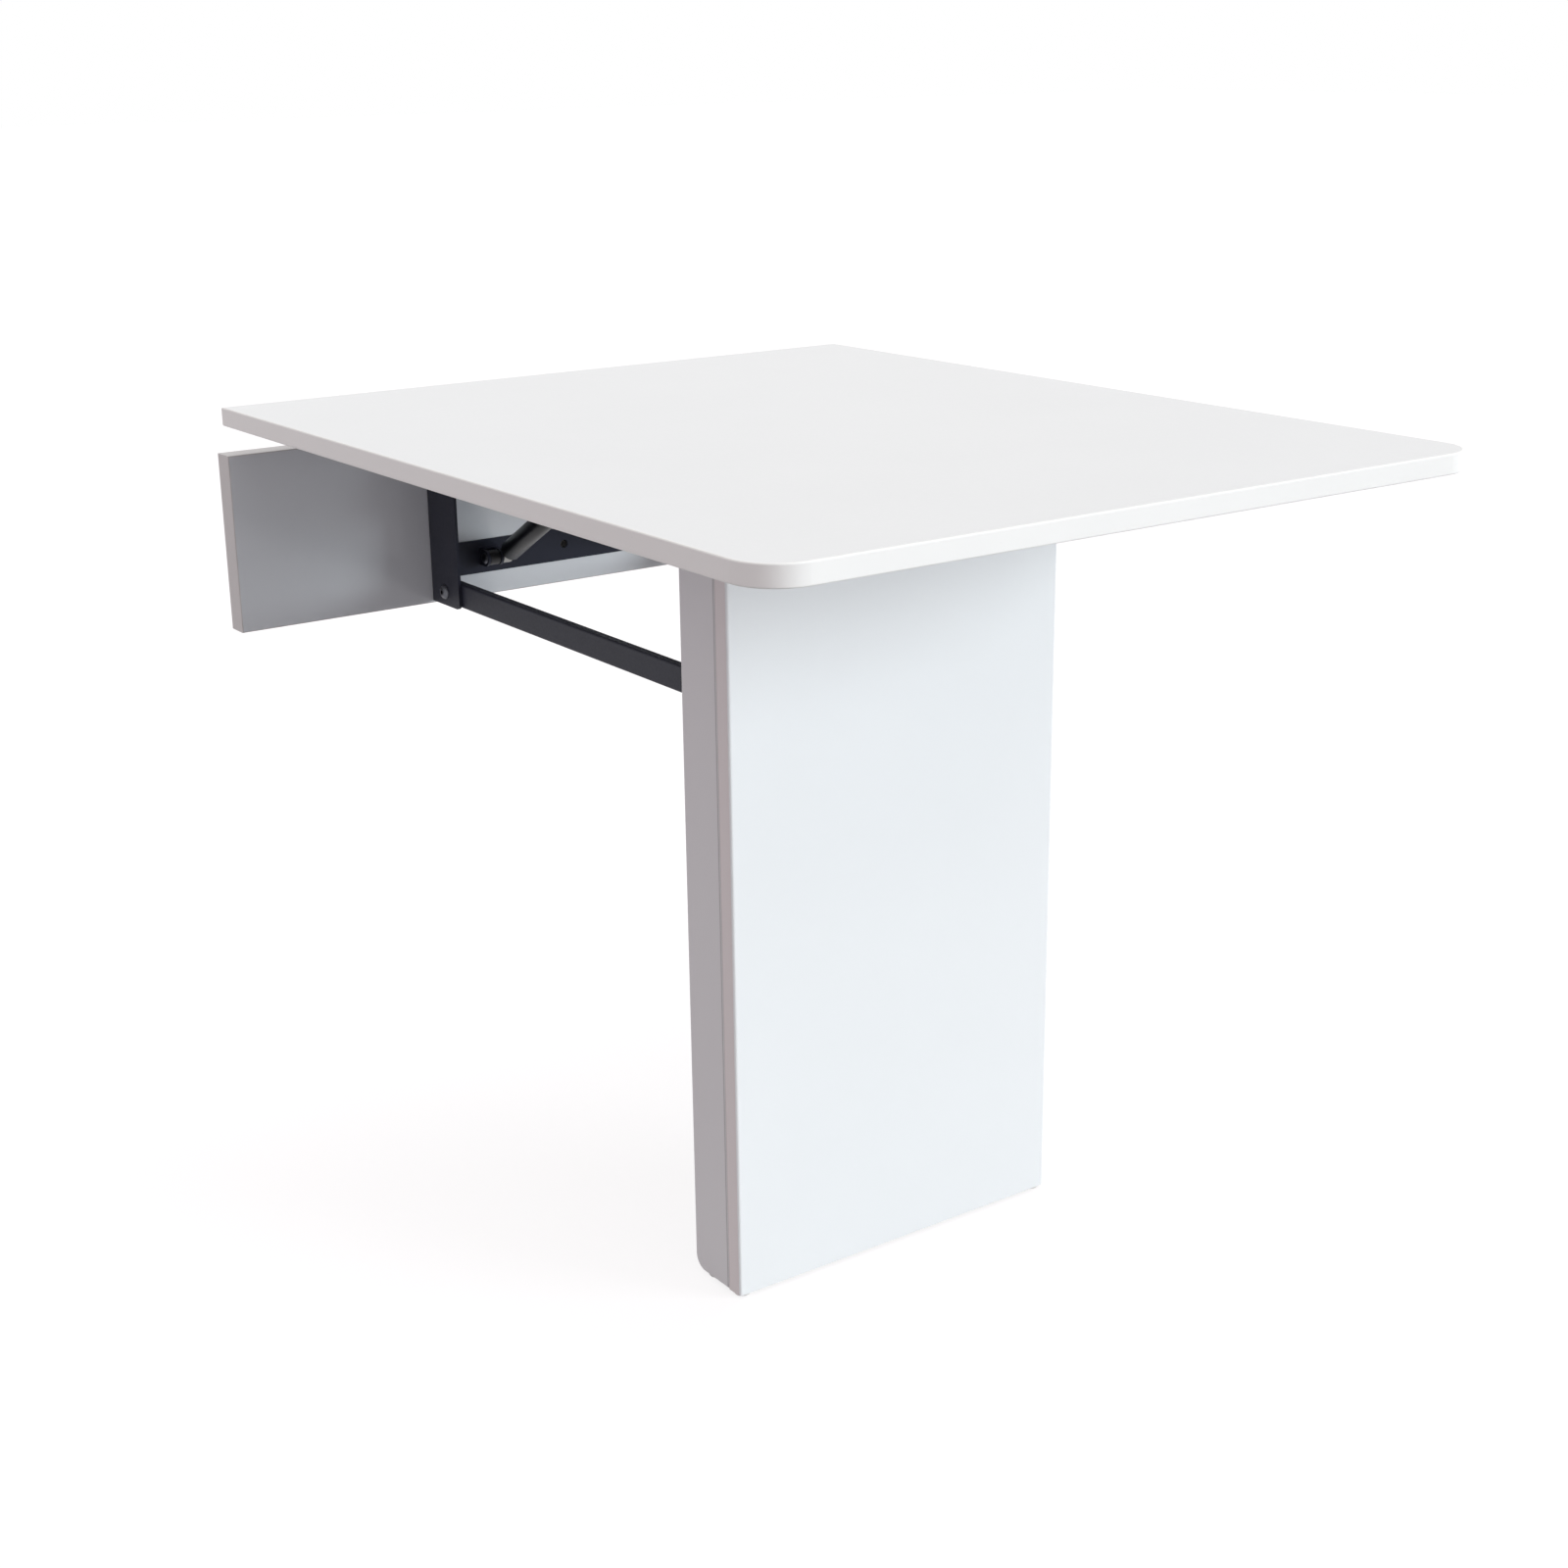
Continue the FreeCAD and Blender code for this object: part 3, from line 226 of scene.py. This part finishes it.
# extruded ABS edge band, glued on and scraped flush: satin, with faint 4 mm chatter
edgeBand = {
    "leaf": ("#ecebea", "#f0efee"), "panel": ("#bfbbbb", "#c5c1c1"),
    "clouds": (70, 2), "grain": (4, 2), "roughness": (0.24, 0.4), "relief": (0.1, 0.0001),
}

# epoxy powder sprayed on steel and fused: near-black satin with orange peel, 1 mm on the
# real one and drawn at 2 mm to show
powderCoat = {
    "tones": ("#262832", "#2d2f3b"), "clouds": (40, 3), "grain": (2, 3), "roughness": (0.38, 0.58),
    "relief": (0.3, 0.0002), "extra": {"Specular IOR Level": 0.22},
}

# black stoving enamel dipped on the strut's tube: thin and smooth, so a soft clear shine
stovedEnamel = {
    "tones": ("#111216", "#17181d"), "clouds": (25, 3), "grain": (5, 2), "roughness": (0.26, 0.4),
    "relief": (0.08, 0.0002), "extra": {"Specular IOR Level": 0.22},
}

# electroplated zinc: dull grey metal, clouded in 4 mm patches by the passivation, which
# is clear, yellow or black
zincPlate = {
    "clear": ("#86878a", "#a09f99"), "yellow": ("#a39d86", "#bdb8a2"), "black": ("#4e4f54", "#696a70"),
    "clouds": (4, 3), "grain": (0.6, 2), "roughness": (0.28, 0.5), "relief": (0.2, 0.00003),
    "extra": {"Metallic": 1},
}

# steel ground between wheels and hard-chromed: a mirror, blurred a little in fine patches
hardChrome = {
    "tones": "#d9dcdf", "grain": (0.8, 2), "roughness": (0.04, 0.16), "relief": (0.1, 0.00001),
    "extra": {"Metallic": 1},
}

# injection moulded in a spark-eroded tool: an even dull grain of 0.6 mm
mouldedGrain = {"grain": (0.6, 2), "relief": (0.25, 0.00006)}
bushNylon = {"tones": "#19191b", "roughness": (0.4, 0.6), **mouldedGrain}
wiperRubber = {"tones": "#131314", "roughness": (0.52, 0.72), **mouldedGrain}
glidePolyethylene = {"tones": "#e4e3df", "roughness": (0.35, 0.55), **mouldedGrain}

legBoard = legMelamine("melamineLegBoard", melamine["leg"])
# the leg's side boards: the front board's melamine drawn darker, as painted shade
shadedSideBoard = legMelamine("melamineSideBoardShaded", melamine["legSideShaded"])
panelBand = finished("absPanelBand", edgeBand, "panel")
powder = finished("powderCoat", powderCoat)
enamel = finished("stovedEnamel", stovedEnamel)
zinc = finished("zincPlate", zincPlate, "clear")
yellowZinc = finished("zincPlateYellow", zincPlate, "yellow")
blackZinc = finished("zincPlateBlack", zincPlate, "black")
chrome = finished("hardChrome", hardChrome)
nylon = finished("nylon", bushNylon)
rubber = finished("nitrileRubber", wiperRubber)
polyethylene = finished("polyethylene", glidePolyethylene)
slotFinish = {
    "board_white": finished("melamineBoard", melamine, "leaf"),
    "board_gloss": sprayedLacquer(),
    "edge_band": finished("absLeafBand", edgeBand, "leaf"),
    "black_steel": powder,
    "zinc_steel": zinc,
    "chromed_rod": chrome,
    "black_plastic": nylon,
    "white_plastic": polyethylene,
}
nodeFinish = {"wall_panel_edge_band": panelBand, "leg_front_panel": legBoard,
              "leg_side_left": shadedSideBoard, "leg_side_right": shadedSideBoard,
              "strut_lower_eye_left": zinc, "strut_lower_eye_right": zinc,
              "strut_upper_eye_left": zinc, "strut_upper_eye_right": zinc}
for part in frame["record"]["subparts"]:
    for slot in frame["nodes"][part["node"]].material_slots:
        slot.material = nodeFinish.get(part["node"], slotFinish[part["material_slot"]])
print("materials made:", len(bpy.data.materials))

# a distance to merge over, the angles of a rim to soften and of a smooth edge, and how level a cap is
meshing = {"weld": 1e-6, "rimAngle": 0.5, "smoothAngle": math.radians(38), "level": 0.9}


def turned(outline, steps=40, soft=0.0):
    # spins (radius, height) corners about Z, and softens the sharp rims
    mesh = bmesh.new()
    spots = [mesh.verts.new((radius, 0, height)) for radius, height in outline]
    line = [mesh.edges.new(pair) for pair in zip(spots, spots[1:])]
    bmesh.ops.spin(mesh, geom=spots + line, cent=(0, 0, 0), axis=(0, 0, 1), dvec=(0, 0, 0),
                   angle=2 * math.pi, steps=steps, use_merge=True, use_duplicate=False)
    bmesh.ops.remove_doubles(mesh, verts=mesh.verts, dist=meshing["weld"])
    bmesh.ops.recalc_face_normals(mesh, faces=mesh.faces)
    if soft:
        rims = [e for e in mesh.edges if e.is_manifold and e.calc_face_angle() > meshing["rimAngle"]]
        bmesh.ops.bevel(mesh, geom=rims, offset=soft, segments=2, profile=0.5, material=-1,
                        affect="EDGES", clamp_overlap=True)
    return mesh


def joined(meshes):
    whole = bmesh.new()
    for mesh in meshes:
        data = bpy.data.meshes.new("part")
        mesh.to_mesh(data)
        mesh.free()
        whole.from_mesh(data)
        bpy.data.meshes.remove(data)
    return whole


def moved(mesh, spot, turn=Matrix()):
    bmesh.ops.transform(mesh, matrix=Matrix.Translation(spot) @ turn, verts=mesh.verts)
    return mesh


def mirrored(mesh):
    other = mesh.copy()
    bmesh.ops.scale(other, vec=(-1, 1, 1), verts=other.verts)
    bmesh.ops.recalc_face_normals(other, faces=other.faces)
    return other


def addPiece(mesh, name, material, body, slot, *nodes):
    for face in mesh.faces:
        face.smooth = True
    for edge in mesh.edges:
        edge.smooth = edge.calc_face_angle(0) < meshing["smoothAngle"]
    data = bpy.data.meshes.new(name)
    mesh.to_mesh(data)
    mesh.free()
    data.materials.append(material)
    piece = bpy.data.objects.new(name, data)
    bpy.context.collection.objects.link(piece)
    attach(piece, body)
    if nodes:
        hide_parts(*nodes)


def addPair(mesh, name, material, body, slot, *nodes):
    # the left piece and its mirror image; a * in a name is the side
    for side, half in (("left", mesh), ("right", mirrored(mesh))):
        addPiece(half, name + "_" + side, material, body.replace("*", side), slot,
                 *[node.replace("*", side) for node in nodes])


alongX = Matrix.Rotation(math.pi / 2, 4, "Y")       # a piece's own Z to +X
againstX = Matrix.Rotation(-math.pi / 2, 4, "Y")
alongY = Matrix.Rotation(-math.pi / 2, 4, "X")

woodScrew = {       # the head's profile is radius and height, from crown to rim
    "head": ((0.00248, 0.0024), (0.00368, 0.0017), (0.004, 0.0004)),
    "capInset": 0.00012, "recess": 0.0022, "recessArm": 0.00055, "recessDepth": 0.0011,
    "shank": 0.002, "core": 0.00144, "pitch": 0.0014, "crest": 0.00056, "foot": 0.00112,
    "tip": 0.003, "root": 0.0005,
}


def makeScrew(length):
    # pan head with a cross recess; its own Z runs from under the head into the wood
    w = woodScrew
    core, shank, pitch = w["core"], w["shank"], w["pitch"]
    profile = [(radius, -height) for radius, height in w["head"]]
    crown, rim = profile[0][1], profile[-1][0]
    head = turned([(0, crown), *profile, (rim, 0), (0, 0)], steps=24)
    pole = [v for v in head.verts if v.co.z < crown + meshing["weld"] and v.co.xy.length < meshing["weld"]]
    bmesh.ops.dissolve_verts(head, verts=pole)
    cap = min(head.faces, key=lambda face: face.calc_center_median().z)
    bmesh.ops.inset_region(head, faces=[cap], thickness=w["capInset"], use_even_offset=True)
    for vert in cap.verts:
        angle = (math.atan2(vert.co.y, vert.co.x) + math.pi / 4) % (math.pi / 2) - math.pi / 4
        arm = w["recessArm"] / max(abs(math.sin(angle)), meshing["weld"])
        vert.co.xy = vert.co.xy.normalized() * min(w["recess"], arm)
    pit = bmesh.ops.extrude_discrete_faces(head, faces=[cap])["faces"][0]
    bmesh.ops.translate(head, vec=(0, 0, w["recessDepth"]), verts=pit.verts)
    thread = [(0, -w["root"]), (core, -w["root"])]      # starts inside the head
    for i in range(int((length - w["tip"]) / pitch)):
        start = (i + 0.5) * pitch
        thread += [(core, start), (shank, start + w["crest"]), (core, start + w["foot"])]
    thread += [(core, length - w["tip"]), (0, length)]
    return joined([head, turned(thread, steps=12)])


def screwSet(length, spots, turn):
    return joined([moved(makeScrew(length), spot, turn) for spot in spots])


def bothSides(spots):
    return spots + [(-x, y, z) for x, y, z in spots]


screwPlaces = {       # length, and where the undersides of the heads sit
    "frame": {"length": 0.018, "across": -0.1425, "y": -0.028, "heights": (-0.03, 0.03)},
    "rail": {"length": 0.014, "across": -0.128, "along": (-0.12, -0.288, -0.456), "z": 0.104},
    "bracket": {"length": 0.014, "across": -0.079, "along": (-0.258, -0.214), "z": 0.104},
    "plate": {"length": 0.014, "across": -0.163, "y": -0.559, "heights": (-0.037, 0.053)},
}


def spotsOf(row):
    # a row of screws runs up at one y, or along y at one z
    if "heights" in row:
        return [(row["across"], row["y"], z) for z in row["heights"]]
    return [(row["across"], y, row["z"]) for y in row["along"]]


for kind, name, body, turn, node in (
        ("frame", "frameScrews", "wall_frame", alongY, "frame_screws"),
        ("rail", "railScrews", "leaf", Matrix(), "leaf_rail_screws"),
        ("bracket", "bracketScrews", "leaf", Matrix(), "strut_bracket_screws")):
    row = screwPlaces[kind]
    screws = screwSet(row["length"], bothSides(spotsOf(row)), turn)
    addPiece(screws, name, yellowZinc, body, "zinc_steel", node)
plateRow = screwPlaces["plate"]
addPair(screwSet(plateRow["length"], spotsOf(plateRow), againstX), "plateScrews", yellowZinc, "leg",
        "zinc_steel", "leg_plate_screws_*")
print("wood screws made")

leafAxis, legAxis, linkAxis = [axes[name][1:] for name in ("leaf_fold", "leg_swing", "link_swing_left")]
# leaf, leg and lower link make a parallelogram, and this is its fourth corner
linkEndAxis = [link + leg - leaf for link, leg, leaf in zip(linkAxis, legAxis, leafAxis)]
boltThread = {"radius": 0.004, "core": 0.00344, "pitch": 0.00125}
hexNut = {"radius": 0.0072, "thick": 0.005, "chamfer": 0.0007, "ring": 0.00216}


def makeNut(start, axis):
    # its corners chamfered, and a countersunk ring drawn round the bore
    h = hexNut
    nut = bmesh.new()
    bmesh.ops.create_cone(nut, cap_ends=True, cap_tris=False, segments=6, radius1=h["radius"],
                          radius2=h["radius"], depth=h["thick"])
    bmesh.ops.bevel(nut, geom=nut.verts[:], offset=h["chamfer"], segments=1, profile=0.5,
                    material=-1, affect="VERTICES", clamp_overlap=True)
    for cap in [face for face in nut.faces if abs(face.normal.z) > meshing["level"]]:
        bmesh.ops.inset_region(nut, faces=[cap], thickness=h["ring"], use_even_offset=True)
    return moved(nut, (start + h["thick"] / 2, *axis), alongX)


pivotBolt = {       # the head's profile is radius and height, from its socket to its rim
    "head": ((0.0033, 0.004), (0.00525, 0.00344), (0.00675, 0.002), (0.0075, 0.00064)),
    "socket": 0.0024, "socketDepth": 0.0022, "threadLength": 0.0066, "tip": 0.0034,
    "tipLength": 0.0002, "start": -0.159,
}


def openEdges(mesh):
    return [e for e in mesh.edges if e.is_boundary]


def makeBolt(grip, nutStart, axis):
    # low domed head with a hexagon socket, plain shank, threaded end and nut
    b, radius, pitch = pivotBolt, boltThread["radius"], boltThread["pitch"]
    threadStart = grip - b["threadLength"]
    outline = [(wide, -high) for wide, high in b["head"]]
    outline += [(outline[-1][0], 0), (radius, 0), (radius, threadStart)]
    for i in range(int(b["threadLength"] / pitch)):
        turn = threadStart + i * pitch
        outline += [(boltThread["core"], turn + pitch / 4), (radius, turn + pitch * 3 / 4)]
    outline += [(b["tip"], grip - b["tipLength"]), (0, grip)]
    bolt = turned(outline, steps=30)
    rim = bmesh.ops.extrude_edge_only(bolt, edges=openEdges(bolt))["geom"]
    for vert in [v for v in rim if isinstance(v, bmesh.types.BMVert)]:
        angle = math.atan2(vert.co.y, vert.co.x) % (math.pi / 3) - math.pi / 6
        vert.co.xy = vert.co.xy.normalized() * b["socket"] * math.cos(math.pi / 6) / math.cos(angle)
    wall = bmesh.ops.extrude_edge_only(bolt, edges=openEdges(bolt))["geom"]
    bmesh.ops.translate(bolt, vec=(0, 0, b["socketDepth"]),
                        verts=[v for v in wall if isinstance(v, bmesh.types.BMVert)])
    bmesh.ops.holes_fill(bolt, edges=openEdges(bolt), sides=0)
    bmesh.ops.recalc_face_normals(bolt, faces=bolt.faces)
    return joined([moved(bolt, (b["start"], *axis), alongX), makeNut(nutStart, axis)])


legPin = {"plate": 0.003, "shoulder": 0.0062, "tip": 0.00336, "tipLength": 0.0005, "soft": 0.0002,
          "start": -0.166}


def makePin(shoulder, length, nutStart, axis):
    # riveted into the leg's plate, with a shoulder, and a chamfered end under its nut
    p, radius = legPin, boltThread["radius"]
    pin = turned([(0, 0), (radius, 0), (radius, p["plate"]), (p["shoulder"], p["plate"]),
                  (p["shoulder"], shoulder), (radius, shoulder), (radius, length - p["tipLength"]),
                  (p["tip"], length), (0, length)], steps=32, soft=p["soft"])
    return joined([moved(pin, (p["start"], *axis), alongX), makeNut(nutStart, axis)])


leafNut, linkNut = -0.1412, -0.1452       # where the left nuts start along X
leafBolt = makeBolt(grip=0.024, nutStart=leafNut, axis=leafAxis)
linkBolt = makeBolt(grip=0.02, nutStart=linkNut, axis=linkAxis)
hingePin = makePin(shoulder=0.0212, length=0.031, nutStart=leafNut, axis=legAxis)
endPin = makePin(shoulder=0.0102, length=0.027, nutStart=linkNut, axis=linkEndAxis)
addPair(leafBolt, "leafPivotBolt", blackZinc, "wall_frame", "zinc_steel", "leaf_pivot_bolt_*")
addPair(linkBolt, "linkPivotBolt", blackZinc, "wall_frame", "zinc_steel", "link_pivot_bolt_*")
addPair(hingePin, "legHingePin", zinc, "leg", "zinc_steel", "leg_hinge_pin_*")
addPair(endPin, "linkEndPin", zinc, "leg", "zinc_steel", "link_end_pin_*")
print("pivot bolts and pins made")

gasStrut = {       # lengths along the strut, from its lower pin, and the rod's from its upper one
    "tube": 0.011, "wall": 0.001, "start": 0.014, "length": 0.2, "endPlate": 0.003,
    "roll": 0.0018, "rollFlat": 0.0005, "mouth": 0.0086, "lip": 0.0008, "lipHeight": 0.003,
    "lipRoll": 0.0006, "lipRollHeight": 0.0012,
    "groove": 0.0005, "grooveEdges": (0.016, 0.0152, 0.0138, 0.013),       # back from the mouth
    "rod": 0.004, "rodStart": 0.0115, "rodLength": 0.172, "piston": 0.005, "pistonLength": 0.008,
    "sealDepth": 0.0008, "sealEdges": (0.005, 0.0045, 0.0035, 0.003), "soft": 0.0002,
}
lowPin, highPin = axes["strut_foot_left"], axes["strut_head_left"]
reach = Vector(highPin) - Vector(lowPin)
lean = Matrix.Rotation(math.atan2(-reach.y, reach.z), 4, "X")     # a piece's own Z to the upper pin


def makeCylinder():
    # drawn tube with rolled ends, and the rolled groove that holds the rod guide
    g = gasStrut
    start, end = g["start"], g["start"] + g["length"]
    outer, inner, waist = g["tube"], g["tube"] - g["wall"], g["tube"] - g["groove"]
    grooveStart, waistStart, waistEnd, grooveEnd = [end - back for back in g["grooveEdges"]]
    return turned([(0, start), (outer - g["roll"], start), (outer - g["rollFlat"], start + g["rollFlat"]),
                   (outer, start + g["roll"]), (outer, grooveStart), (waist, waistStart),
                   (waist, waistEnd), (outer, grooveEnd), (outer, end - g["lipHeight"]),
                   (outer - g["lipRoll"], end - g["lipRollHeight"]), (g["mouth"] + g["lip"], end),
                   (g["mouth"], end), (inner, end - g["lipHeight"]), (inner, start + g["endPlate"]),
                   (0, start + g["endPlate"])], steps=64)


def makeRod():
    # its piston carries one seal groove
    g = gasStrut
    rod, piston, foot = g["rod"], g["piston"], -g["rodLength"]
    sealed = piston - g["sealDepth"]
    highRim, highBed, lowBed, lowRim = [foot + rise for rise in g["sealEdges"]]
    return turned([(0, -g["rodStart"]), (rod, -g["rodStart"]), (rod, foot + g["pistonLength"]),
                   (piston, foot + g["pistonLength"]), (piston, highRim), (sealed, highBed),
                   (sealed, lowBed), (piston, lowRim), (piston, foot), (0, foot)],
                  steps=48, soft=g["soft"])


# radii, and depths below the mouth
wiper = {"lip": 0.0079, "crest": 0.0084, "back": 0.0097, "lipTop": 0.0016, "crestTop": 0.0012,
         "backTop": 0.0035, "seat": 0.0044}


def makeWiper():
    # the rubber lip just inside the mouth
    w = wiper
    end = gasStrut["start"] + gasStrut["length"]
    return turned([(w["lip"], end - w["seat"]), (w["back"], end - w["seat"]),
                   (w["back"], end - w["backTop"]), (w["crest"], end - w["crestTop"]),
                   (w["lip"], end - w["lipTop"]), (w["lip"], end - w["seat"])], steps=48)


strutPin = {       # a head's profile is radius and depth, from its pole
    "radius": 0.004, "head": ((0, 0), (0.0027, 0.0002), (0.0048, 0.00105), (0.006, 0.0025)),
    "lowerLength": 0.0295, "upperLength": 0.017, "lowerStart": -0.103, "upperStart": -0.0875,
}


def domedPin(length):
    # a rivet with a low dome at each end
    high = strutPin["head"][-1][1]
    dome = [*strutPin["head"], (strutPin["radius"], high)]
    return turned([(radius, depth - high) for radius, depth in dome]
                  + [(radius, length + high - depth) for radius, depth in reversed(dome)], steps=36)


bush = {"radius": 0.0078, "bore": 0.0041, "length": 0.0122, "chamfer": 0.0008, "start": -0.09985}


def lugBush():
    # black spacer that fills the lug between its ears
    b = bush
    waist, near, far = b["radius"] - b["chamfer"], b["chamfer"], b["length"] - b["chamfer"]
    return turned([(b["bore"], 0), (waist, 0), (b["radius"], near), (b["radius"], far),
                   (waist, b["length"]), (b["bore"], b["length"]), (b["bore"], 0)], steps=40)


addPair(moved(makeCylinder(), lowPin, lean), "strutCylinder", enamel, "strut_tube_*",
        "black_steel", "strut_cylinder_*")
addPair(moved(makeWiper(), lowPin, lean), "strutWiper", rubber, "strut_tube_*", "black_plastic")
addPair(moved(makeRod(), highPin, lean), "strutRod", chrome, "strut_piston_*", "chromed_rod",
        "strut_rod_*")
lowerPin = moved(domedPin(strutPin["lowerLength"]), (strutPin["lowerStart"], *lowPin[1:]), alongX)
upperPin = moved(domedPin(strutPin["upperLength"]), (strutPin["upperStart"], *highPin[1:]), alongX)
addPair(lowerPin, "strutLowerPin", blackZinc, "wall_frame", "zinc_steel", "strut_lower_pin_*")
addPair(upperPin, "strutUpperPin", zinc, "leaf", "zinc_steel", "strut_upper_pin_*")
addPair(moved(lugBush(), (bush["start"], *lowPin[1:]), alongX), "lugBush", nylon, "wall_frame",
        "black_plastic")
print("gas struts made")

glide = {"radius": 0.008, "height": 0.003, "foot": 0.0056, "heel": 0.0072, "heelHeight": 0.0006,
         "side": 0.0018, "across": 0.175, "along": (-0.603, -0.562)}


def makeGlide():
    g = glide
    return turned([(0, 0), (g["foot"], 0), (g["heel"], g["heelHeight"]), (g["radius"], g["side"]),
                   (g["radius"], g["height"]), (0, g["height"])], steps=32)


glideSpots = bothSides([(glide["across"], y, floorHeight) for y in glide["along"]])
addPiece(joined([moved(makeGlide(), spot) for spot in glideSpots]), "legGlides", polyethylene, "leg",
         "white_plastic", "leg_glides")
print("glides made")


def seenDirectly(tree):
    # 1 for rays from the camera, off gloss and through glass
    rays = addNode(tree, "ShaderNodeLightPath", {}, {}).outputs
    two = addNode(tree, "ShaderNodeMath", {"operation": "ADD"},
                  {0: rays["Is Camera Ray"], 1: rays["Is Glossy Ray"]})
    three = addNode(tree, "ShaderNodeMath", {"operation": "ADD", "use_clamp": True},
                    {0: two.outputs[0], 1: rays["Is Transmission Ray"]})
    return three.outputs[0]


floor = {"half": 30, "colour": "#8e8a8c", "glow": 0.8}


def layFloor():
    # matt floor whose own white is only seen, so that it keeps the shadow
    mesh = bmesh.new()
    bmesh.ops.create_grid(mesh, x_segments=1, y_segments=1, size=floor["half"])
    bmesh.ops.translate(mesh, vec=(0, 0, floorHeight), verts=mesh.verts)
    data = bpy.data.meshes.new("studioFloor")
    mesh.to_mesh(data)
    mesh.free()
    material, tree = startMaterial("paintedFloor")
    matt = addNode(tree, "ShaderNodeBsdfDiffuse", {}, {"Color": linearColour(floor["colour"])})
    level = addNode(tree, "ShaderNodeMath", {"operation": "MULTIPLY"},
                    {0: seenDirectly(tree), 1: floor["glow"]})
    glow = addNode(tree, "ShaderNodeEmission", {}, {"Strength": level.outputs[0]})
    both = addNode(tree, "ShaderNodeAddShader", {}, {0: matt.outputs["BSDF"], 1: glow.outputs["Emission"]})
    clear = addNode(tree, "ShaderNodeBsdfTransparent", {}, {})
    under = addNode(tree, "ShaderNodeNewGeometry", {}, {}).outputs["Backfacing"]     # open from below
    surface = addNode(tree, "ShaderNodeMixShader", {}, {0: under, 1: both.outputs["Shader"],
                                                        2: clear.outputs["BSDF"]})
    addNode(tree, "ShaderNodeOutputMaterial", {}, {"Surface": surface.outputs["Shader"]})
    data.materials.append(material)
    plane = bpy.data.objects.new("studioFloor", data)
    bpy.context.collection.objects.link(plane)


sky = {"colour": (1, 0.965, 0.95, 1), "level": 0.505}


def lightSky():
    # the soft sky lights the object, and a plain white one is seen
    world = bpy.data.worlds.new("studioSky")
    bpy.context.scene.world = world
    world.use_nodes = True
    tree = world.node_tree
    tree.nodes.clear()
    soft = addNode(tree, "ShaderNodeBackground", {}, {"Color": sky["colour"], "Strength": sky["level"]})
    white = addNode(tree, "ShaderNodeBackground", {}, {"Color": (1, 1, 1, 1), "Strength": 1})
    mix = addNode(tree, "ShaderNodeMixShader", {}, {0: seenDirectly(tree), 1: soft.outputs["Background"],
                                                    2: white.outputs["Background"]})
    addNode(tree, "ShaderNodeOutputWorld", {}, {"Surface": mix.outputs["Shader"]})


def backwards(azimuth, elevation):
    # the way to the lamp or camera; azimuth 0 faces the wall, positive is to the right
    return Vector((math.sin(azimuth) * math.cos(elevation), -math.cos(azimuth) * math.cos(elevation),
                   math.sin(elevation)))


softboxes = {       # angles in degrees; a level of 1 lights a white surface that faces it to white
    "key": {"level": 1.075, "azimuth": 43, "elevation": 8, "spread": 34, "colour": (0.893, 0.965, 0.985)},
    "fill": {"level": 0.062, "azimuth": -50, "elevation": 8, "spread": 50, "colour": (1, 1, 1)},
    "side": {"level": 0.076, "azimuth": -85, "elevation": 5, "spread": 60, "colour": (1, 0.67, 0.89)},
    "back": {"level": 0.17, "azimuth": 165, "elevation": 35, "spread": 60, "colour": (1, 1, 1)},
    "top": {"level": 0.264, "azimuth": 10, "elevation": 80, "spread": 70, "colour": (1, 1, 1)},
}


def addSoftbox(name, box):
    lamp = bpy.data.lights.new(name + "Softbox", "SUN")
    lamp.energy = box["level"] * math.pi
    lamp.angle = math.radians(box["spread"])
    lamp.color = box["colour"]
    sun = bpy.data.objects.new(name + "Softbox", lamp)
    back = backwards(math.radians(box["azimuth"]), math.radians(box["elevation"]))
    sun.rotation_euler = back.to_track_quat("Z", "Y").to_euler()
    sun.visible_glossy = False      # gloss mirrors the white surround, without a lamp's glare
    bpy.context.collection.objects.link(sun)


layFloor()
lightSky()
for name, box in softboxes.items():
    addSoftbox(name, box)

view = {"place": (-1.24421, -2.19131, 0.46598), "azimuth": -0.6156, "elevation": 0.3107,
        "roll": -0.0128, "lens": 53.857, "sensor": 36}       # metres, radians and mm


def setCamera():
    lens = bpy.data.cameras.new("view")
    lens.sensor_width = view["sensor"]
    lens.lens = view["lens"]
    camera = bpy.data.objects.new("view", lens)
    turn = backwards(view["azimuth"], view["elevation"]).to_track_quat("Z", "Y").to_matrix().to_4x4()
    camera.matrix_world = Matrix.Translation(view["place"]) @ turn @ Matrix.Rotation(view["roll"], 4, "Z")
    bpy.context.collection.objects.link(camera)
    bpy.context.scene.camera = camera


setCamera()
bpy.context.scene.view_settings.view_transform = "Standard"
print("floor, light and camera set")
